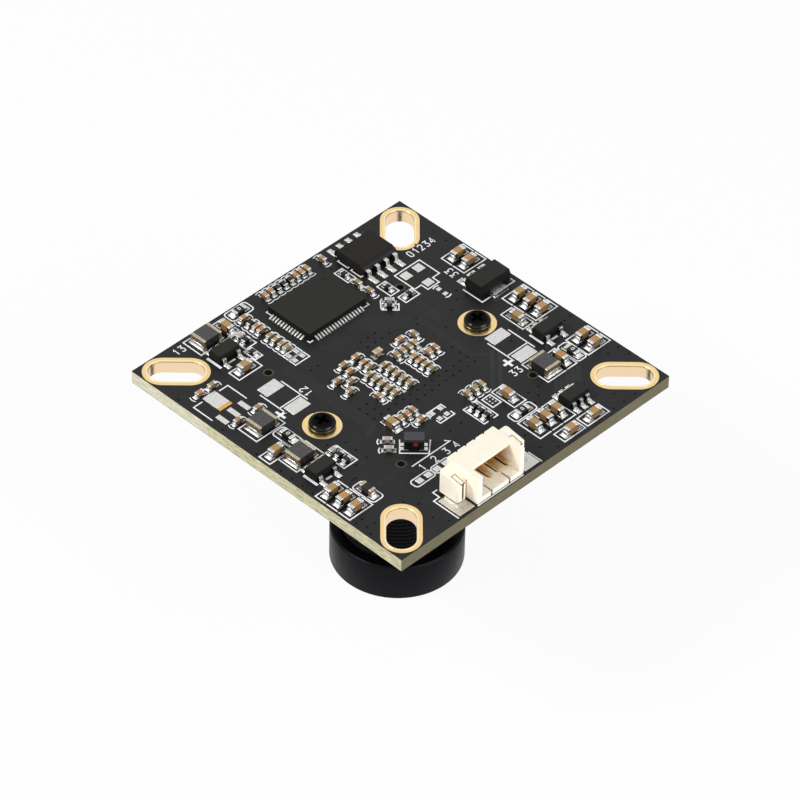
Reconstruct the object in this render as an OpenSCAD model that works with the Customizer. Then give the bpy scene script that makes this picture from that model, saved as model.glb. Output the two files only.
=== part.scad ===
// Board camera module: a square circuit board that carries its parts on the upper side, and under
// it a moulded holder with a screw-in lens. The module stands on the front rim of the lens.
// Origin: centre of the lens's front rim, +Z up through the board, the connector on the -Y edge.

/* [Board] */
// Board width along X
board_w = 38; // [35:0.5:44]
// Board depth along Y
board_d = 38; // [35:0.5:44]
// Board thickness with both coats of solder mask
board_t = 1.5; // [1.2:0.1:2.0]
// Thickness of one coat of solder mask
mask_t = 0.04; // [0.03:0.01:0.08]
// Height of the board's underside above the lens's front rim
board_z = 23.4; // [22:0.1:28]
// Diameter of the four small guide holes
guide_hole_d = 0.8; // [0.6:0.1:1.0]
// Diameter of the bare ring around a guide hole
guide_ring_d = 1.2; // [1.1:0.05:1.6]
// Distance between guide holes along X and Y
guide_hole_span = 18.7; // [17:0.1:20]

/* [Corner slots] */
// Distance from a slot's middle to the two board edges next to it
slot_inset = 3.15; // [3.1:0.05:3.6]
// Distance between the centres of a slot's two round ends
slot_travel = 2.8; // [1.5:0.1:3.0]
// Width of a slot inside its plating
slot_d = 3.0; // [2.4:0.1:3.2]
// Width of the gold land around a slot
slot_land = 0.55; // [0.3:0.05:0.6]
// Thickness of the plated metal
plating_t = 0.05; // [0.03:0.01:0.1]

/* [Holder screws] */
// Distance between the two holder screws
screw_span = 22; // [21:0.5:24]
// Diameter of a screw's shank
screw_d = 1.7; // [1.4:0.1:2.0]
// Diameter of a screw's pan head
screw_head_d = 2.8; // [2.6:0.1:3.4]
// Height of a screw's pan head
screw_head_h = 0.8; // [0.7:0.05:1.2]
// Length of a screw's shank under the head
screw_l = 4.4; // [3.6:0.2:5.2]
// Gap around a shank in its board hole
screw_clear = 0.2; // [0.1:0.05:0.4]
// Diameter of the gold land under a screw head
screw_land_d = 4.0; // [3.8:0.1:4.6]

/* [Lens holder] */
// Side of the holder's square base
holder_base_w = 15; // [14:0.5:16]
// Thickness of the holder's base
holder_base_h = 4.0; // [3.5:0.25:5]
// Total height of the holder
holder_h = 11.6; // [10:0.2:12]
// Outside diameter of the threaded tower
holder_tower_d = 14; // [13.4:0.2:15]
// Side of the square pocket over the sensor
holder_pocket_w = 11; // [10.5:0.25:12]
// Depth of the square pocket over the sensor
holder_pocket_h = 2.6; // [2.2:0.1:3]
// Diameter of a screw ear
holder_ear_d = 4.6; // [4:0.2:5.4]

/* [Lens] */
// Outside diameter of the lens thread
thread_d = 12; // [11.9:0.1:12.1]
// Pitch of the lens thread
thread_pitch = 0.5; // [0.35:0.05:0.75]
// Depth of the lens thread
thread_depth = 0.3; // [0.2:0.05:0.4]
// Gap between thread and holder bore, on the radius
thread_clear = 0.05; // [0.03:0.01:0.08]
// Outside diameter of the lens head
head_d = 14; // [13:0.2:16]
// Height of the lens head
head_h = 4.6; // [4:0.2:6]
// Height of the threaded barrel above the head
barrel_h = 11.4; // [10.5:0.2:12]
// Diameter of the bore that holds the inner lenses
barrel_bore_d = 7.6; // [7:0.2:8.4]
// Diameter of the front lens
front_lens_d = 10; // [9.4:0.2:10.4]
// Gap around each lens in its bore
lens_clear = 0.02; // [0.01:0.01:0.04]

/* [Image sensor] */
// Side of the sensor package
sensor_w = 8.6; // [8:0.2:10]
// Thickness of the sensor package
sensor_h = 0.9; // [0.7:0.05:1.2]
// Width of the light-sensitive die
sensor_die_w = 5.6; // [5:0.1:6]
// Depth of the light-sensitive die
sensor_die_d = 4.2; // [3.6:0.1:4.6]

/* [Chip parts] */
// Length, width and height of a small chip part
small_chip = [1.0, 0.5, 0.5];
// Length, width and height of a medium chip part
medium_chip = [1.6, 0.8, 0.8];
// Length, width and height of the ceramic coil
coil_chip = [1.05, 0.65, 0.65];
// Height of a chip resistor
resistor_h = 0.4; // [0.3:0.05:0.5]
// Share of a chip part's length that each metal end takes
chip_end = 0.22; // [0.15:0.01:0.3]
// Solder pad length beyond a chip part's end
pad_over = 0.25; // [0.1:0.05:0.4]
// Solder pad length beyond a medium chip part's end
medium_pad_over = 0.4; // [0.2:0.05:0.5]
// Thickness of a solder pad
pad_t = 0.05; // [0.03:0.01:0.1]

/* [Chips] */
// Lead thickness of all packages
lead_t = 0.15; // [0.1:0.01:0.2]
// Gap between a package and the board
standoff = 0.12; // [0.05:0.01:0.2]
// Image processor body along X
processor_w = 8.0; // [7.4:0.1:8.4]
// Image processor body along Y
processor_d = 6.0; // [5.4:0.1:6.2]
// Image processor body height
processor_h = 0.85; // [0.7:0.05:1.2]
// Image processor terminal pitch
processor_pitch = 0.4; // [0.36:0.01:0.44]
// Terminals on a long and on a short side of the image processor
processor_leads = [17, 12];
// Memory body width along its lead rows
memory_w = 4.9; // [4.6:0.1:5.3]
// Memory body depth across its lead rows
memory_d = 3.9; // [3.6:0.1:4.2]
// Memory body height
memory_h = 1.15; // [1.0:0.05:1.6]
// Memory lead pitch
memory_pitch = 1.27; // [1.2:0.01:1.3]

/* [Regulator] */
// Regulator body width
regulator_w = 4.4; // [4.2:0.1:4.8]
// Regulator body depth
regulator_d = 2.4; // [2.3:0.1:2.8]
// Regulator body height
regulator_h = 1.5; // [1.3:0.1:1.7]
// Regulator lead pitch
regulator_pitch = 1.5; // [1.4:0.05:1.6]

/* [Converters] */
// Converter body width
converter_w = 2.9; // [2.7:0.1:3.1]
// Converter body depth
converter_d = 1.6; // [1.5:0.05:1.8]
// Converter body height
converter_h = 0.95; // [0.85:0.05:1.2]
// Converter lead pitch
converter_pitch = 0.95; // [0.9:0.05:1]

/* [Coils] */
// Length, width and height of a power inductor
inductor = [2.5, 2.0, 1.0];
// Width of an inductor's metal end
inductor_end = 0.35; // [0.3:0.05:0.6]
// Length, width and height of the common-mode choke
choke = [2.0, 1.2, 1.4];
// Thickness of the choke's top plate
choke_plate_h = 0.3; // [0.2:0.05:0.4]
// Length of each choke flange
choke_flange = 0.5; // [0.4:0.05:0.6]

/* [Connector] */
// Contact pitch
contact_pitch = 1.25; // [1.2:0.01:1.3]
// Number of contacts
contact_n = 4; // [2:1:5]
// Housing height
housing_h = 3.4; // [3.2:0.1:3.8]
// Housing depth from mouth to back
housing_d = 4.3; // [4:0.1:4.8]
// Housing wall thickness
housing_wall = 0.6; // [0.5:0.05:0.7]
// Housing width beyond the outer contacts, on each side
housing_side = 1.35; // [1.2:0.05:1.6]
// Gap between the housing's mouth and the board edge
housing_edge = 0.3; // [0.2:0.1:0.8]
// Distance from the board's middle to the connector's middle
housing_x = -5.0; // [-6:0.05:-4.5]
// Thickness of a contact blade
contact_t = 0.3; // [0.2:0.05:0.4]

/* [Hidden] */
$fn = 48;
e = 0.01;
board_top = board_z + board_t;
core_t = board_t - 2 * mask_t;
core_z = board_z + mask_t;
layout_side = 38;
kx = board_w / layout_side;
ky = board_d / layout_side;
slot_r = slot_d / 2;
slot_x = board_w / 2 - slot_inset;
slot_y = board_d / 2 - slot_inset;
screw_hole_d = screw_d + 2 * screw_clear;
pad_z = board_top;
part_z = board_top + pad_t;

// where the parts sit, as [x, y, turn] on a board of layout_side
small_brown = [
  [-1.7, 17.75, 90], [-0.85, 17.75, 90], [2.65, 17.75, 90], [3.45, 17.75, 90], [4.25, 17.75, 90],
  [-5.65, 16.75, 0], [-5.65, 14.9, 0], [-5.65, 14.2, 0], [-16.65, 11.65, 0],
  [-3.45, 4.65, 0], [-1.7, 4.65, 0], [-3.65, 3.55, 0], [-1.75, 3.5, 0], [-5.6, 3.4, 0],
  [3.35, 3.45, 0], [4.1, 0.1, 90], [5.05, 0.1, 90], [2.5, 0.6, 0], [2.5, -0.2, 0],
  [-0.6, 0.0, 0], [-4.15, -1.1, 90], [-3.6, -6.4, 0], [-3.2, -4.95, 90], [-4.1, -4.95, 90]
];
small_tan = [
  [-5.65, 12.9, 0], [-5.65, 12.1, 0], [-5.65, 11.2, 0], [-5.65, 10.5, 0], [6.5, 17.75, 90],
  [6.5, 12.6, 90], [6.5, 10.85, 90], [-14.95, 11.65, 0], [-16.7, 6.1, 0],
  [-14.0, 6.1, 0], [-4.6, 2.45, 0], [-1.75, 2.7, 0], [-5.7, 1.45, 0],
  [-2.7, 1.8, 0], [-2.7, 0.9, 0], [-2.7, 0.0, 0], [-2.7, -0.95, 0], [-2.7, -1.85, 0],
  [-0.6, 1.8, 0], [-0.6, 0.9, 0], [-0.6, -0.95, 0], [-0.6, -1.85, 0],
  [2.5, -1.0, 0], [2.5, -1.85, 0], [1.42, 2.0, 90], [2.3, 2.0, 90], [3.2, 2.0, 90],
  [4.0, 2.0, 90], [5.0, 2.95, 90], [-5.05, -4.95, 90], [2.4, -7.0, 90], [3.4, -7.0, 90],
  [4.4, -7.0, 90]
];
small_grey = [
  [-7.8, 15.0, 0], [-13.0, -3.5, 0], [-8.9, -7.2, -45], [-8.1, -6.2, -45], [6.85, 8.4, -45]
];
small_black = [
  [0.05, 17.75, 90], [0.95, 17.75, 90], [1.85, 17.75, 90], [-5.65, 15.7, 0], [6.5, 14.5, 90],
  [8.25, 10.0, 90], [1.55, -8.7, 0], [1.55, -9.6, 0], [1.55, -10.45, 0], [-7.8, 14.2, 0],
  [-8.5, 12.45, 90], [-13.0, -4.4, 0], [-13.0, -5.4, 0], [9.0, 7.8, 0], [6.25, 7.8, -45]
];
medium_caps = [
  [17.1, 8.7, 0], [17.1, 7.1, 0], [17.1, -0.05, 0], [17.1, -1.6, 0], [17.1, -3.2, 0],
  [17.1, -8.9, 0], [17.1, -10.55, 0], [-17.1, -7.55, 0], [-17.1, -9.2, 0], [-17.1, -10.8, 0],
  [-17.1, 0.3, 0], [-10.7, 11.35, 0], [6.0, -17.75, 0], [9.3, -17.75, 0], [3.9, -14.75, 90],
  [5.5, -14.75, 90], [7.1, -14.75, 90], [5.25, -9.8, 90], [14.3, -2.4, 90], [13.0, -9.7, 90],
  [-7.85, 16.95, 90], [-6.15, -4.85, 90]
];
medium_resistors = [[-5.1, 18.0, 0], [-14.55, 1.2, 90], [4.6, -12.4, 0], [14.7, -9.75, 90]];
bead_places = [[-14.6, -9.95, 90]];
coil_places = [[0.26, 3.56, 0]];
coil_pad_over = 0.1;
inductor_places = [[-10.45, 17.2, 0], [-15.35, 4.1, 0], [-15.8, -1.8, 0], [10.95, -9.45, 90]];
converter_places = [[-10.7, 14.25, 0], [-15.9, -4.75, 0], [15.05, -5.9, 0]];
switch_place = [9.6, -14.7, 0];
processor_place = [0.9, 12.85, 0];
memory_place = [10.05, 14.95, 0];
regulator_place = [16.0, 3.4, 0];
choke_place = [-6.72, -8.52, -45];
// bare pads as [x, y, length along X, length along Y, turn]
bare_pads = [
  [-6.2, 9.65, 0.5, 0.55, 0], [-5.15, 9.65, 0.5, 0.55, 0], [-6.2, 8.75, 0.5, 0.55, 0],
  [-5.15, 8.75, 0.5, 0.55, 0], [11.0, 10.12, 1.05, 1.05, 0], [12.8, 10.12, 1.05, 1.05, 0],
  [11.9, 7.85, 1.05, 0.95, 0], [11.9, 6.35, 0.52, 0.46, 0], [11.9, 5.4, 0.52, 0.46, 0],
  [-15.95, 9.8, 1.7, 2.6, 0], [-17.5, 7.45, 0.6, 1.5, 0], [-15.95, 7.45, 0.6, 1.5, 0],
  [-14.5, 7.45, 0.6, 1.5, 0], [-10.8, 7.5, 2.4, 1.5, 0], [-10.8, 3.75, 2.4, 1.5, 0],
  [11.0, -2.9, 2.4, 1.45, 0], [11.0, -6.6, 2.4, 1.45, 0], [-2.0, -6.4, 0.5, 0.55, 0],
  [-0.85, -6.4, 0.5, 0.55, 0], [-1.95, -7.4, 0.5, 0.55, 0], [-0.95, -7.4, 0.5, 0.55, 0],
  [-9.8, -12.35, 0.75, 0.7, 0], [-8.6, -12.35, 0.75, 0.7, 0], [-7.35, -12.35, 0.75, 0.7, 0],
  [-6.15, -12.35, 0.75, 0.7, 0]
];

function on_layout(p) = [p[0] * kx, p[1] * ky];

module place(p, z = part_z) {
  translate([p[0] * kx, p[1] * ky, z]) rotate(p[2]) children();
}

module block(size, z = 0) {
  translate([-size[0] / 2, -size[1] / 2, z]) cube(size);
}

// ---- board ----
module slot_2d(r) {
  for (sx = [-1, 1], sy = [-1, 1])
    translate([sx * slot_x, sy * slot_y]) rotate(sx * sy * 45) {
      square([slot_travel, 2 * r], center = true);
      for (s = [-1, 1]) translate([s * slot_travel / 2, 0]) circle(r);
    }
}

module board_2d() {
  square([board_w, board_d], center = true);
}

module guide_holes_2d(d) {
  for (sx = [-1, 1], sy = [-1, 1])
    translate([sx * guide_hole_span / 2, sy * guide_hole_span / 2]) circle(d = d);
}

module screw_places() {
  for (s = [-1, 1]) translate([s * screw_span / 2, 0]) children();
}

module circuit_board() {
  color("#8f8a5e") translate([0, 0, core_z]) linear_extrude(core_t) difference() {
    board_2d();
    slot_2d(slot_r + plating_t);
    guide_holes_2d(guide_hole_d);
    screw_places() circle(d = screw_hole_d);
  }
}

module mask_2d() {
  difference() {
    board_2d();
    slot_2d(slot_r + slot_land);
    guide_holes_2d(guide_ring_d);
    screw_places() circle(d = screw_land_d);
  }
}

module solder_mask_top() {
  color("#2d2d2f") translate([0, 0, board_top - mask_t]) linear_extrude(mask_t) mask_2d();
}

module solder_mask_bottom() {
  color("#2d2d2f") translate([0, 0, board_z]) linear_extrude(mask_t) mask_2d();
}

module slot_plating() {
  color("#e6be82") {
    translate([0, 0, board_z]) linear_extrude(board_t) difference() {
      slot_2d(slot_r + plating_t);
      slot_2d(slot_r);
    }
    for (z = [board_z, board_top - mask_t])
      translate([0, 0, z]) linear_extrude(mask_t) intersection() {
        difference() {
          slot_2d(slot_r + slot_land);
          slot_2d(slot_r + plating_t);
        }
        board_2d();
      }
  }
}

module screw_lands() {
  color("#e6be82") for (z = [board_z, board_top - mask_t])
    translate([0, 0, z]) linear_extrude(mask_t) screw_places() difference() {
      circle(d = screw_land_d);
      circle(d = screw_hole_d);
    }
}

// ---- chip parts ----
module chip_body(size) {
  block([size[0] * (1 - 2 * chip_end), size[1], size[2]]);
}

module chip_ends(size) {
  end_l = size[0] * chip_end;
  for (s = [-1, 1]) translate([s * (size[0] - end_l) / 2, 0, 0]) block([end_l, size[1], size[2]]);
}

module chip_pads(size, over) {
  pad_l = size[0] * chip_end + over;
  for (s = [-1, 1])
    translate([s * (size[0] / 2 + over - pad_l / 2), 0, 0]) block([pad_l, size[1] + 0.1, pad_t]);
}

function with_h(size, h) = [size[0], size[1], h];

module small_capacitors_brown() {
  color("#b07a4a") for (p = small_brown) place(p) chip_body(small_chip);
}

module small_capacitors_tan() {
  color("#a08a5a") for (p = small_tan) place(p) chip_body(small_chip);
}

module small_beads() {
  color("#b8b0a8") for (p = small_grey) place(p) chip_body(small_chip);
}

module small_capacitor_ends() {
  color("#d8d6d0") for (p = concat(small_brown, small_tan)) place(p) chip_ends(small_chip);
}

module small_bead_ends() {
  color("#d8d6d0") {
    for (p = small_grey) place(p) chip_ends(small_chip);
    for (p = coil_places) place(p) chip_ends(coil_chip);
  }
}

module chip_coil() {
  color("#bba07e") for (p = coil_places) place(p) chip_body(coil_chip);
}

module small_resistors() {
  color("#17171a") for (p = small_black) place(p) chip_body(with_h(small_chip, resistor_h));
}

module small_resistor_ends() {
  color("#d8d6d0") for (p = small_black) place(p) chip_ends(with_h(small_chip, resistor_h));
}

module medium_capacitors() {
  color("#b07a4a") for (p = medium_caps) place(p) chip_body(medium_chip);
}

module medium_capacitor_ends() {
  color("#d8d6d0") for (p = medium_caps) place(p) chip_ends(medium_chip);
}

module link_resistors() {
  color("#17171a") for (p = medium_resistors) place(p) chip_body(with_h(medium_chip, resistor_h));
}

module link_resistor_ends() {
  color("#d8d6d0") for (p = medium_resistors) place(p) chip_ends(with_h(medium_chip, resistor_h));
}

module ferrite_bead() {
  color("#2a2a2c") for (p = bead_places) place(p) chip_body(medium_chip);
}

module ferrite_bead_ends() {
  color("#cfc6a8") for (p = bead_places) place(p) chip_ends(medium_chip);
}

// ---- packages ----
function draft_of(h) = 0.09 * h;

module moulded_body(size, z = standoff) {
  w = size[0];
  d = size[1];
  h = size[2];
  draft = draft_of(h);
  module drafted(side, run) {
    translate([0, run / 2, z]) rotate([90, 0, 0]) linear_extrude(run) polygon([
      [-side / 2 + draft, 0], [side / 2 - draft, 0], [side / 2, h / 2],
      [side / 2 - draft, h], [-side / 2 + draft, h], [-side / 2, h / 2]
    ]);
  }
  intersection() {
    drafted(w, d);
    rotate(90) drafted(d, w);
  }
}

// a bent lead that leaves the body at half its height and stands on its foot
module gull_lead(reach, body_h, w) {
  mid = standoff + body_h / 2;
  knee = reach * 0.35;
  heel = reach * 0.5;
  t = lead_t;
  rotate([90, 0, 0]) translate([0, 0, -w / 2]) linear_extrude(w) polygon([
    [0, mid - t / 2], [knee - t / 2, mid - t / 2], [heel - t / 2, 0], [reach, 0],
    [reach, t], [heel + t / 2, t], [knee + t / 2, mid + t / 2], [0, mid + t / 2]
  ]);
}

// a row of n leads on the side that lies at distance `out` along +X
module lead_row(n, pitch, out, reach, body_h, w) {
  for (i = [0 : n - 1])
    translate([out, (i - (n - 1) / 2) * pitch, 0]) gull_lead(reach, body_h, w);
}

module pad_row(n, pitch, out, pad_l, w) {
  for (i = [0 : n - 1])
    translate([out + pad_l / 2, (i - (n - 1) / 2) * pitch, 0]) block([pad_l, w, pad_t]);
}

processor_reach = 0.45;
processor_lead_w = 0.2;
processor_lead_in = 0.4;
terminal_h = 0.2;
processor_toe = 0.15;
memory_reach = 1.1;
memory_lead_w = 0.45;
memory_toe = 0.55;
memory_bevel_w = 0.55;
memory_bevel_h = 0.35;
converter_reach = 0.65;
converter_lead_w = 0.4;
converter_toe = 0.4;

module processor_sides() {
  for (a = [0, 180]) rotate(a) {
    $out = processor_w / 2;
    $n = processor_leads[1];
    children();
  }
  for (a = [90, 270]) rotate(a) {
    $out = processor_d / 2;
    $n = processor_leads[0];
    children();
  }
}

// flat terminals under the body's rim, each with a fillet of solder that slopes down its pad
module terminals(w) {
  processor_sides() for (i = [0 : $n - 1])
    translate([$out, (i - ($n - 1) / 2) * processor_pitch, 0]) rotate([90, 0, 0])
      translate([0, 0, -w / 2]) linear_extrude(w) polygon([
        [-processor_lead_in, 0], [processor_reach, 0], [processor_reach, lead_t / 3],
        [0, terminal_h], [-processor_lead_in, terminal_h]
      ]);
}

module image_processor() {
  color("#232326") place(processor_place) difference() {
    block([processor_w, processor_d, processor_h]);
    terminals(processor_lead_w);
    translate([processor_w / 2 - 1, processor_d / 2 - 1.1, processor_h - 0.06])
      cylinder(d = 0.55, h = 1);
  }
}

module image_processor_leads() {
  color("#c9c9c6") place(processor_place) terminals(processor_lead_w);
}

// the long edge on the -Y side is bevelled
module flash_memory() {
  top = standoff + memory_h;
  color("#232326") place(memory_place) difference() {
    moulded_body([memory_w, memory_d, memory_h]);
    rotate([90, 0, 90]) translate([0, 0, -memory_w]) linear_extrude(2 * memory_w) polygon([
      [-memory_d / 2 - 1, top - memory_bevel_h - memory_bevel_h / memory_bevel_w],
      [-memory_d / 2 + memory_bevel_w + 1, top + memory_bevel_h / memory_bevel_w],
      [-memory_d / 2 - 1, top + memory_bevel_h / memory_bevel_w]
    ]);
    translate([-memory_w / 2 + 0.8, memory_d / 2 - 0.8, top - 0.06]) cylinder(d = 0.6, h = 1);
  }
}

module flash_memory_leads() {
  color("#c9c9c6") place(memory_place) for (a = [90, 270]) rotate(a)
    lead_row(4, memory_pitch, memory_d / 2, memory_reach, memory_h, memory_lead_w);
}

regulator_lead_l = 0.8;
regulator_lead_t = 0.4;
regulator_lead_w = 0.45;
regulator_tab_w = 1.85;

module linear_regulator() {
  color("#232326") place(regulator_place) moulded_body([regulator_w, regulator_d, regulator_h], 0);
}

// the flat leads start where the drafted body is as high as they are thick
module linear_regulator_leads() {
  root = regulator_d / 2 - draft_of(regulator_h) * (1 - 2 * regulator_lead_t / regulator_h);
  l = regulator_d / 2 + regulator_lead_l - root;
  color("#c9c9c6") place(regulator_place) {
    for (i = [-1 : 1]) translate([i * regulator_pitch, root + l / 2, 0])
      block([regulator_lead_w, l, regulator_lead_t]);
    translate([0, -root - l / 2, 0]) block([regulator_tab_w, l, regulator_lead_t]);
  }
}

module converter_body(i) {
  color("#232326") place(converter_places[i])
    moulded_body([converter_w, converter_d, converter_h]);
}

module converter_leads(i) {
  color("#c9c9c6") place(converter_places[i]) {
    rotate(90) lead_row(3, converter_pitch, converter_d / 2, converter_reach, converter_h,
      converter_lead_w);
    rotate(-90) lead_row(2, 2 * converter_pitch, converter_d / 2, converter_reach, converter_h,
      converter_lead_w);
  }
}

module power_switch() {
  color("#232326") place(switch_place) moulded_body([converter_w, converter_d, converter_h]);
}

module power_switch_leads() {
  color("#c9c9c6") place(switch_place) for (a = [90, -90]) rotate(a)
    lead_row(3, converter_pitch, converter_d / 2, converter_reach, converter_h, converter_lead_w);
}

// ---- coils ----
module power_inductor(i) {
  color("#4a4a4d") place(inductor_places[i])
    block([inductor[0] - 2 * inductor_end, inductor[1], inductor[2]]);
}

module inductor_terminals() {
  color("#d9c79a") for (p = inductor_places) place(p) for (s = [-1, 1])
    translate([s * (inductor[0] - inductor_end) / 2, 0, 0])
      block([inductor_end, inductor[1], inductor[2]]);
}

choke_foot = 0.08;
choke_web = 0.5;
choke_plate_z = choke[2] - choke_plate_h;

module choke_core() {
  color("#3a3a3e") place(choke_place) {
    for (s = [-1, 1]) translate([s * (choke[0] - choke_flange) / 2, 0, 0])
      block([choke_flange, choke[1], choke_plate_z - choke_foot], choke_foot);
    block([choke[0] - choke_flange, choke_web, choke_web], (choke_plate_z - choke_web) / 2);
  }
}

module choke_winding() {
  wound_l = choke[0] - 2 * choke_flange;
  wound_h = choke_plate_z - 0.2;
  color("#6e2a1c") place(choke_place) difference() {
    block([wound_l, choke[1] - 0.15, wound_h], 0.1);
    block([wound_l + 1, choke_web, choke_web], (choke_plate_z - choke_web) / 2);
  }
}

module choke_plate() {
  color("#4d4d52") place(choke_place) block([choke[0], choke[1], choke_plate_h], choke_plate_z);
}

module choke_electrodes() {
  color("#d8d6d0") place(choke_place) for (sx = [-1, 1], sy = [-1, 1])
    translate([sx * (choke[0] - choke_flange) / 2, sy * choke[1] / 4, 0])
      block([choke_flange, choke[1] / 3, choke_foot]);
}

// ---- connector ----
housing_w = (contact_n - 1) * contact_pitch + 2 * housing_side;
ear_w = 1.5;
ear_y = 1.27;
ear_l = 2.65;
ear_back_h = 2.85;
ear_front_h = 2.45;
ear_foot = 0.25;
ear_round = 0.3;
ear_gap = [0.45, 0.7];
nail_t = 0.25;
nail_seat = [0.62, 1.45, 0.14];
nail_x = housing_w / 2 + 0.8;
nail_plate = [0.56, 1.42, 0.1];
nail_foot = [1.2, 1.9, 0.2];
nail_foot_out = 0.15;
nail_foot_front = 0.25;
nail_pad = [2.1, 3.0];
blade_z = housing_h / 2 - contact_t / 2;
blade_w = 0.4;
blade_tip = 0.55;
tail_l = 0.9;
tail_pad = [0.7, 1.5];
mouth_w = housing_w - 2 * housing_wall;
mouth_d = housing_d - 0.9;
housing_roof = 0.4;
notch_d = 1.55;
floor_slot = [0.24, 1.3];
back_groove = [0.3, 0.14];
contact_xs = [for (i = [0 : contact_n - 1]) (i - (contact_n - 1) / 2) * contact_pitch];

module at_connector() {
  translate([housing_x * kx, -board_d / 2 + housing_edge, part_z]) children();
}

// height of an ear's sloping top at the distance y behind its front
function ear_top(y) = ear_front_h + (ear_back_h - ear_front_h) * y / ear_l;

// a wall across an ear from y = 0 to y = l, with its lower and upper heights at both of its ends
module ear_wall(w, l, low, high) {
  rotate([90, 0, 90]) translate([0, 0, -w / 2]) linear_extrude(w) polygon([
    [0, low[0]], [l, low[1]], [l, high[1]], [0, high[0]]
  ]);
}

function ear_tops(l, drop = 0) = [ear_top(0) - drop, ear_top(l) - drop];

module round_square_2d(size, r) {
  square([size[0] - 2 * r, size[1]], center = true);
  square([size[0], size[1] - 2 * r], center = true);
  for (sx = [-1, 1], sy = [-1, 1])
    translate([sx * (size[0] / 2 - r), sy * (size[1] / 2 - r)]) circle(r);
}

module ear() {
  intersection() {
    ear_wall(2 * ear_w, ear_l, [ear_foot, ear_foot], ear_tops(ear_l));
    translate([0, ear_l / 2, 0]) linear_extrude(housing_h) round_square_2d([2 * ear_w, ear_l],
      ear_round);
  }
}

module connector_housing() {
  color("#f4ecd8") at_connector() difference() {
    union() {
      translate([-housing_w / 2, 0, 0]) cube([housing_w, housing_d, housing_h]);
      for (s = [-1, 1]) translate([s * housing_w / 2, ear_y, 0]) ear();
    }
    // plug space
    translate([-mouth_w / 2, -e, housing_wall])
      cube([mouth_w, mouth_d + e, housing_h - housing_wall - housing_roof]);
    // open part of the upper wall at the mouth
    translate([-mouth_w / 2, -e, housing_h / 2]) cube([mouth_w, notch_d + e, housing_h]);
    // two slots in the lower wall
    for (s = [-1, 1]) translate([s * contact_pitch - floor_slot[0] / 2, -e, -e])
      cube([floor_slot[0], floor_slot[1], housing_wall + 2 * e]);
    // passages for the contacts and grooves in the back
    for (x = contact_xs) {
      translate([x - blade_w / 2, mouth_d - e, blade_z]) cube([blade_w, housing_d, contact_t]);
      translate([x - back_groove[0] / 2, housing_d - back_groove[1], blade_z + contact_t + e])
        cube([back_groove[0], housing_d, housing_h]);
    }
    // gaps between the ears and the body, and seats of the solder nails
    for (s = [-1, 1]) {
      translate([s * (housing_w + ear_gap[0]) / 2 - ear_gap[0] / 2, 0, -e])
        cube([ear_gap[0], ear_y + ear_gap[1], housing_h]);
      translate([s * nail_x, ear_y, 0]) {
        ear_wall(nail_t, nail_seat[1], [-e, -e], ear_tops(nail_seat[1]));
        translate([0, -e, 0]) ear_wall(nail_seat[0], nail_seat[1] + e,
          ear_tops(nail_seat[1], nail_seat[2]), [housing_h, housing_h]);
      }
    }
  }
}

module connector_contacts() {
  top = blade_z + contact_t;
  color("#d8cfa8") at_connector() for (x = contact_xs)
    translate([x - blade_w / 2, 0, 0]) rotate([90, 0, 90]) linear_extrude(blade_w) polygon([
      [blade_tip, blade_z], [housing_d + 0.05, blade_z], [housing_d + 0.05, 0],
      [housing_d + tail_l, 0], [housing_d + tail_l, contact_t],
      [housing_d + 0.05 + contact_t, contact_t], [housing_d + 0.05 + contact_t, top],
      [blade_tip, top]
    ]);
}

// a strip that lies in the ear's seat, with a web through the ear and a foot on the pad under it
module connector_solder_nails() {
  color("#d8d6d0") at_connector() for (s = [-1, 1]) {
    translate([s * nail_x, ear_y, 0])
      union() {
        ear_wall(nail_t, nail_seat[1], [0, 0], ear_tops(nail_seat[1], nail_seat[2] - e));
        ear_wall(nail_plate[0], nail_plate[1], ear_tops(nail_plate[1], nail_seat[2]),
          ear_tops(nail_plate[1], nail_seat[2] - nail_plate[2]));
      }
    translate([s * (housing_w / 2 + ear_w + nail_foot_out - nail_foot[0] / 2),
      ear_y - nail_foot_front + nail_foot[1] / 2, 0]) block(nail_foot);
  }
}

// ---- solder pads ----
module package_pads(p, n_up, pitch_up, n_down, pitch_down, out, reach, toe, w) {
  l = reach * 0.6 + toe;
  at = out + reach + toe - l;
  place(p, pad_z) {
    rotate(90) pad_row(n_up, pitch_up, at, l, w);
    rotate(-90) pad_row(n_down, pitch_down, at, l, w);
  }
}

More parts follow.
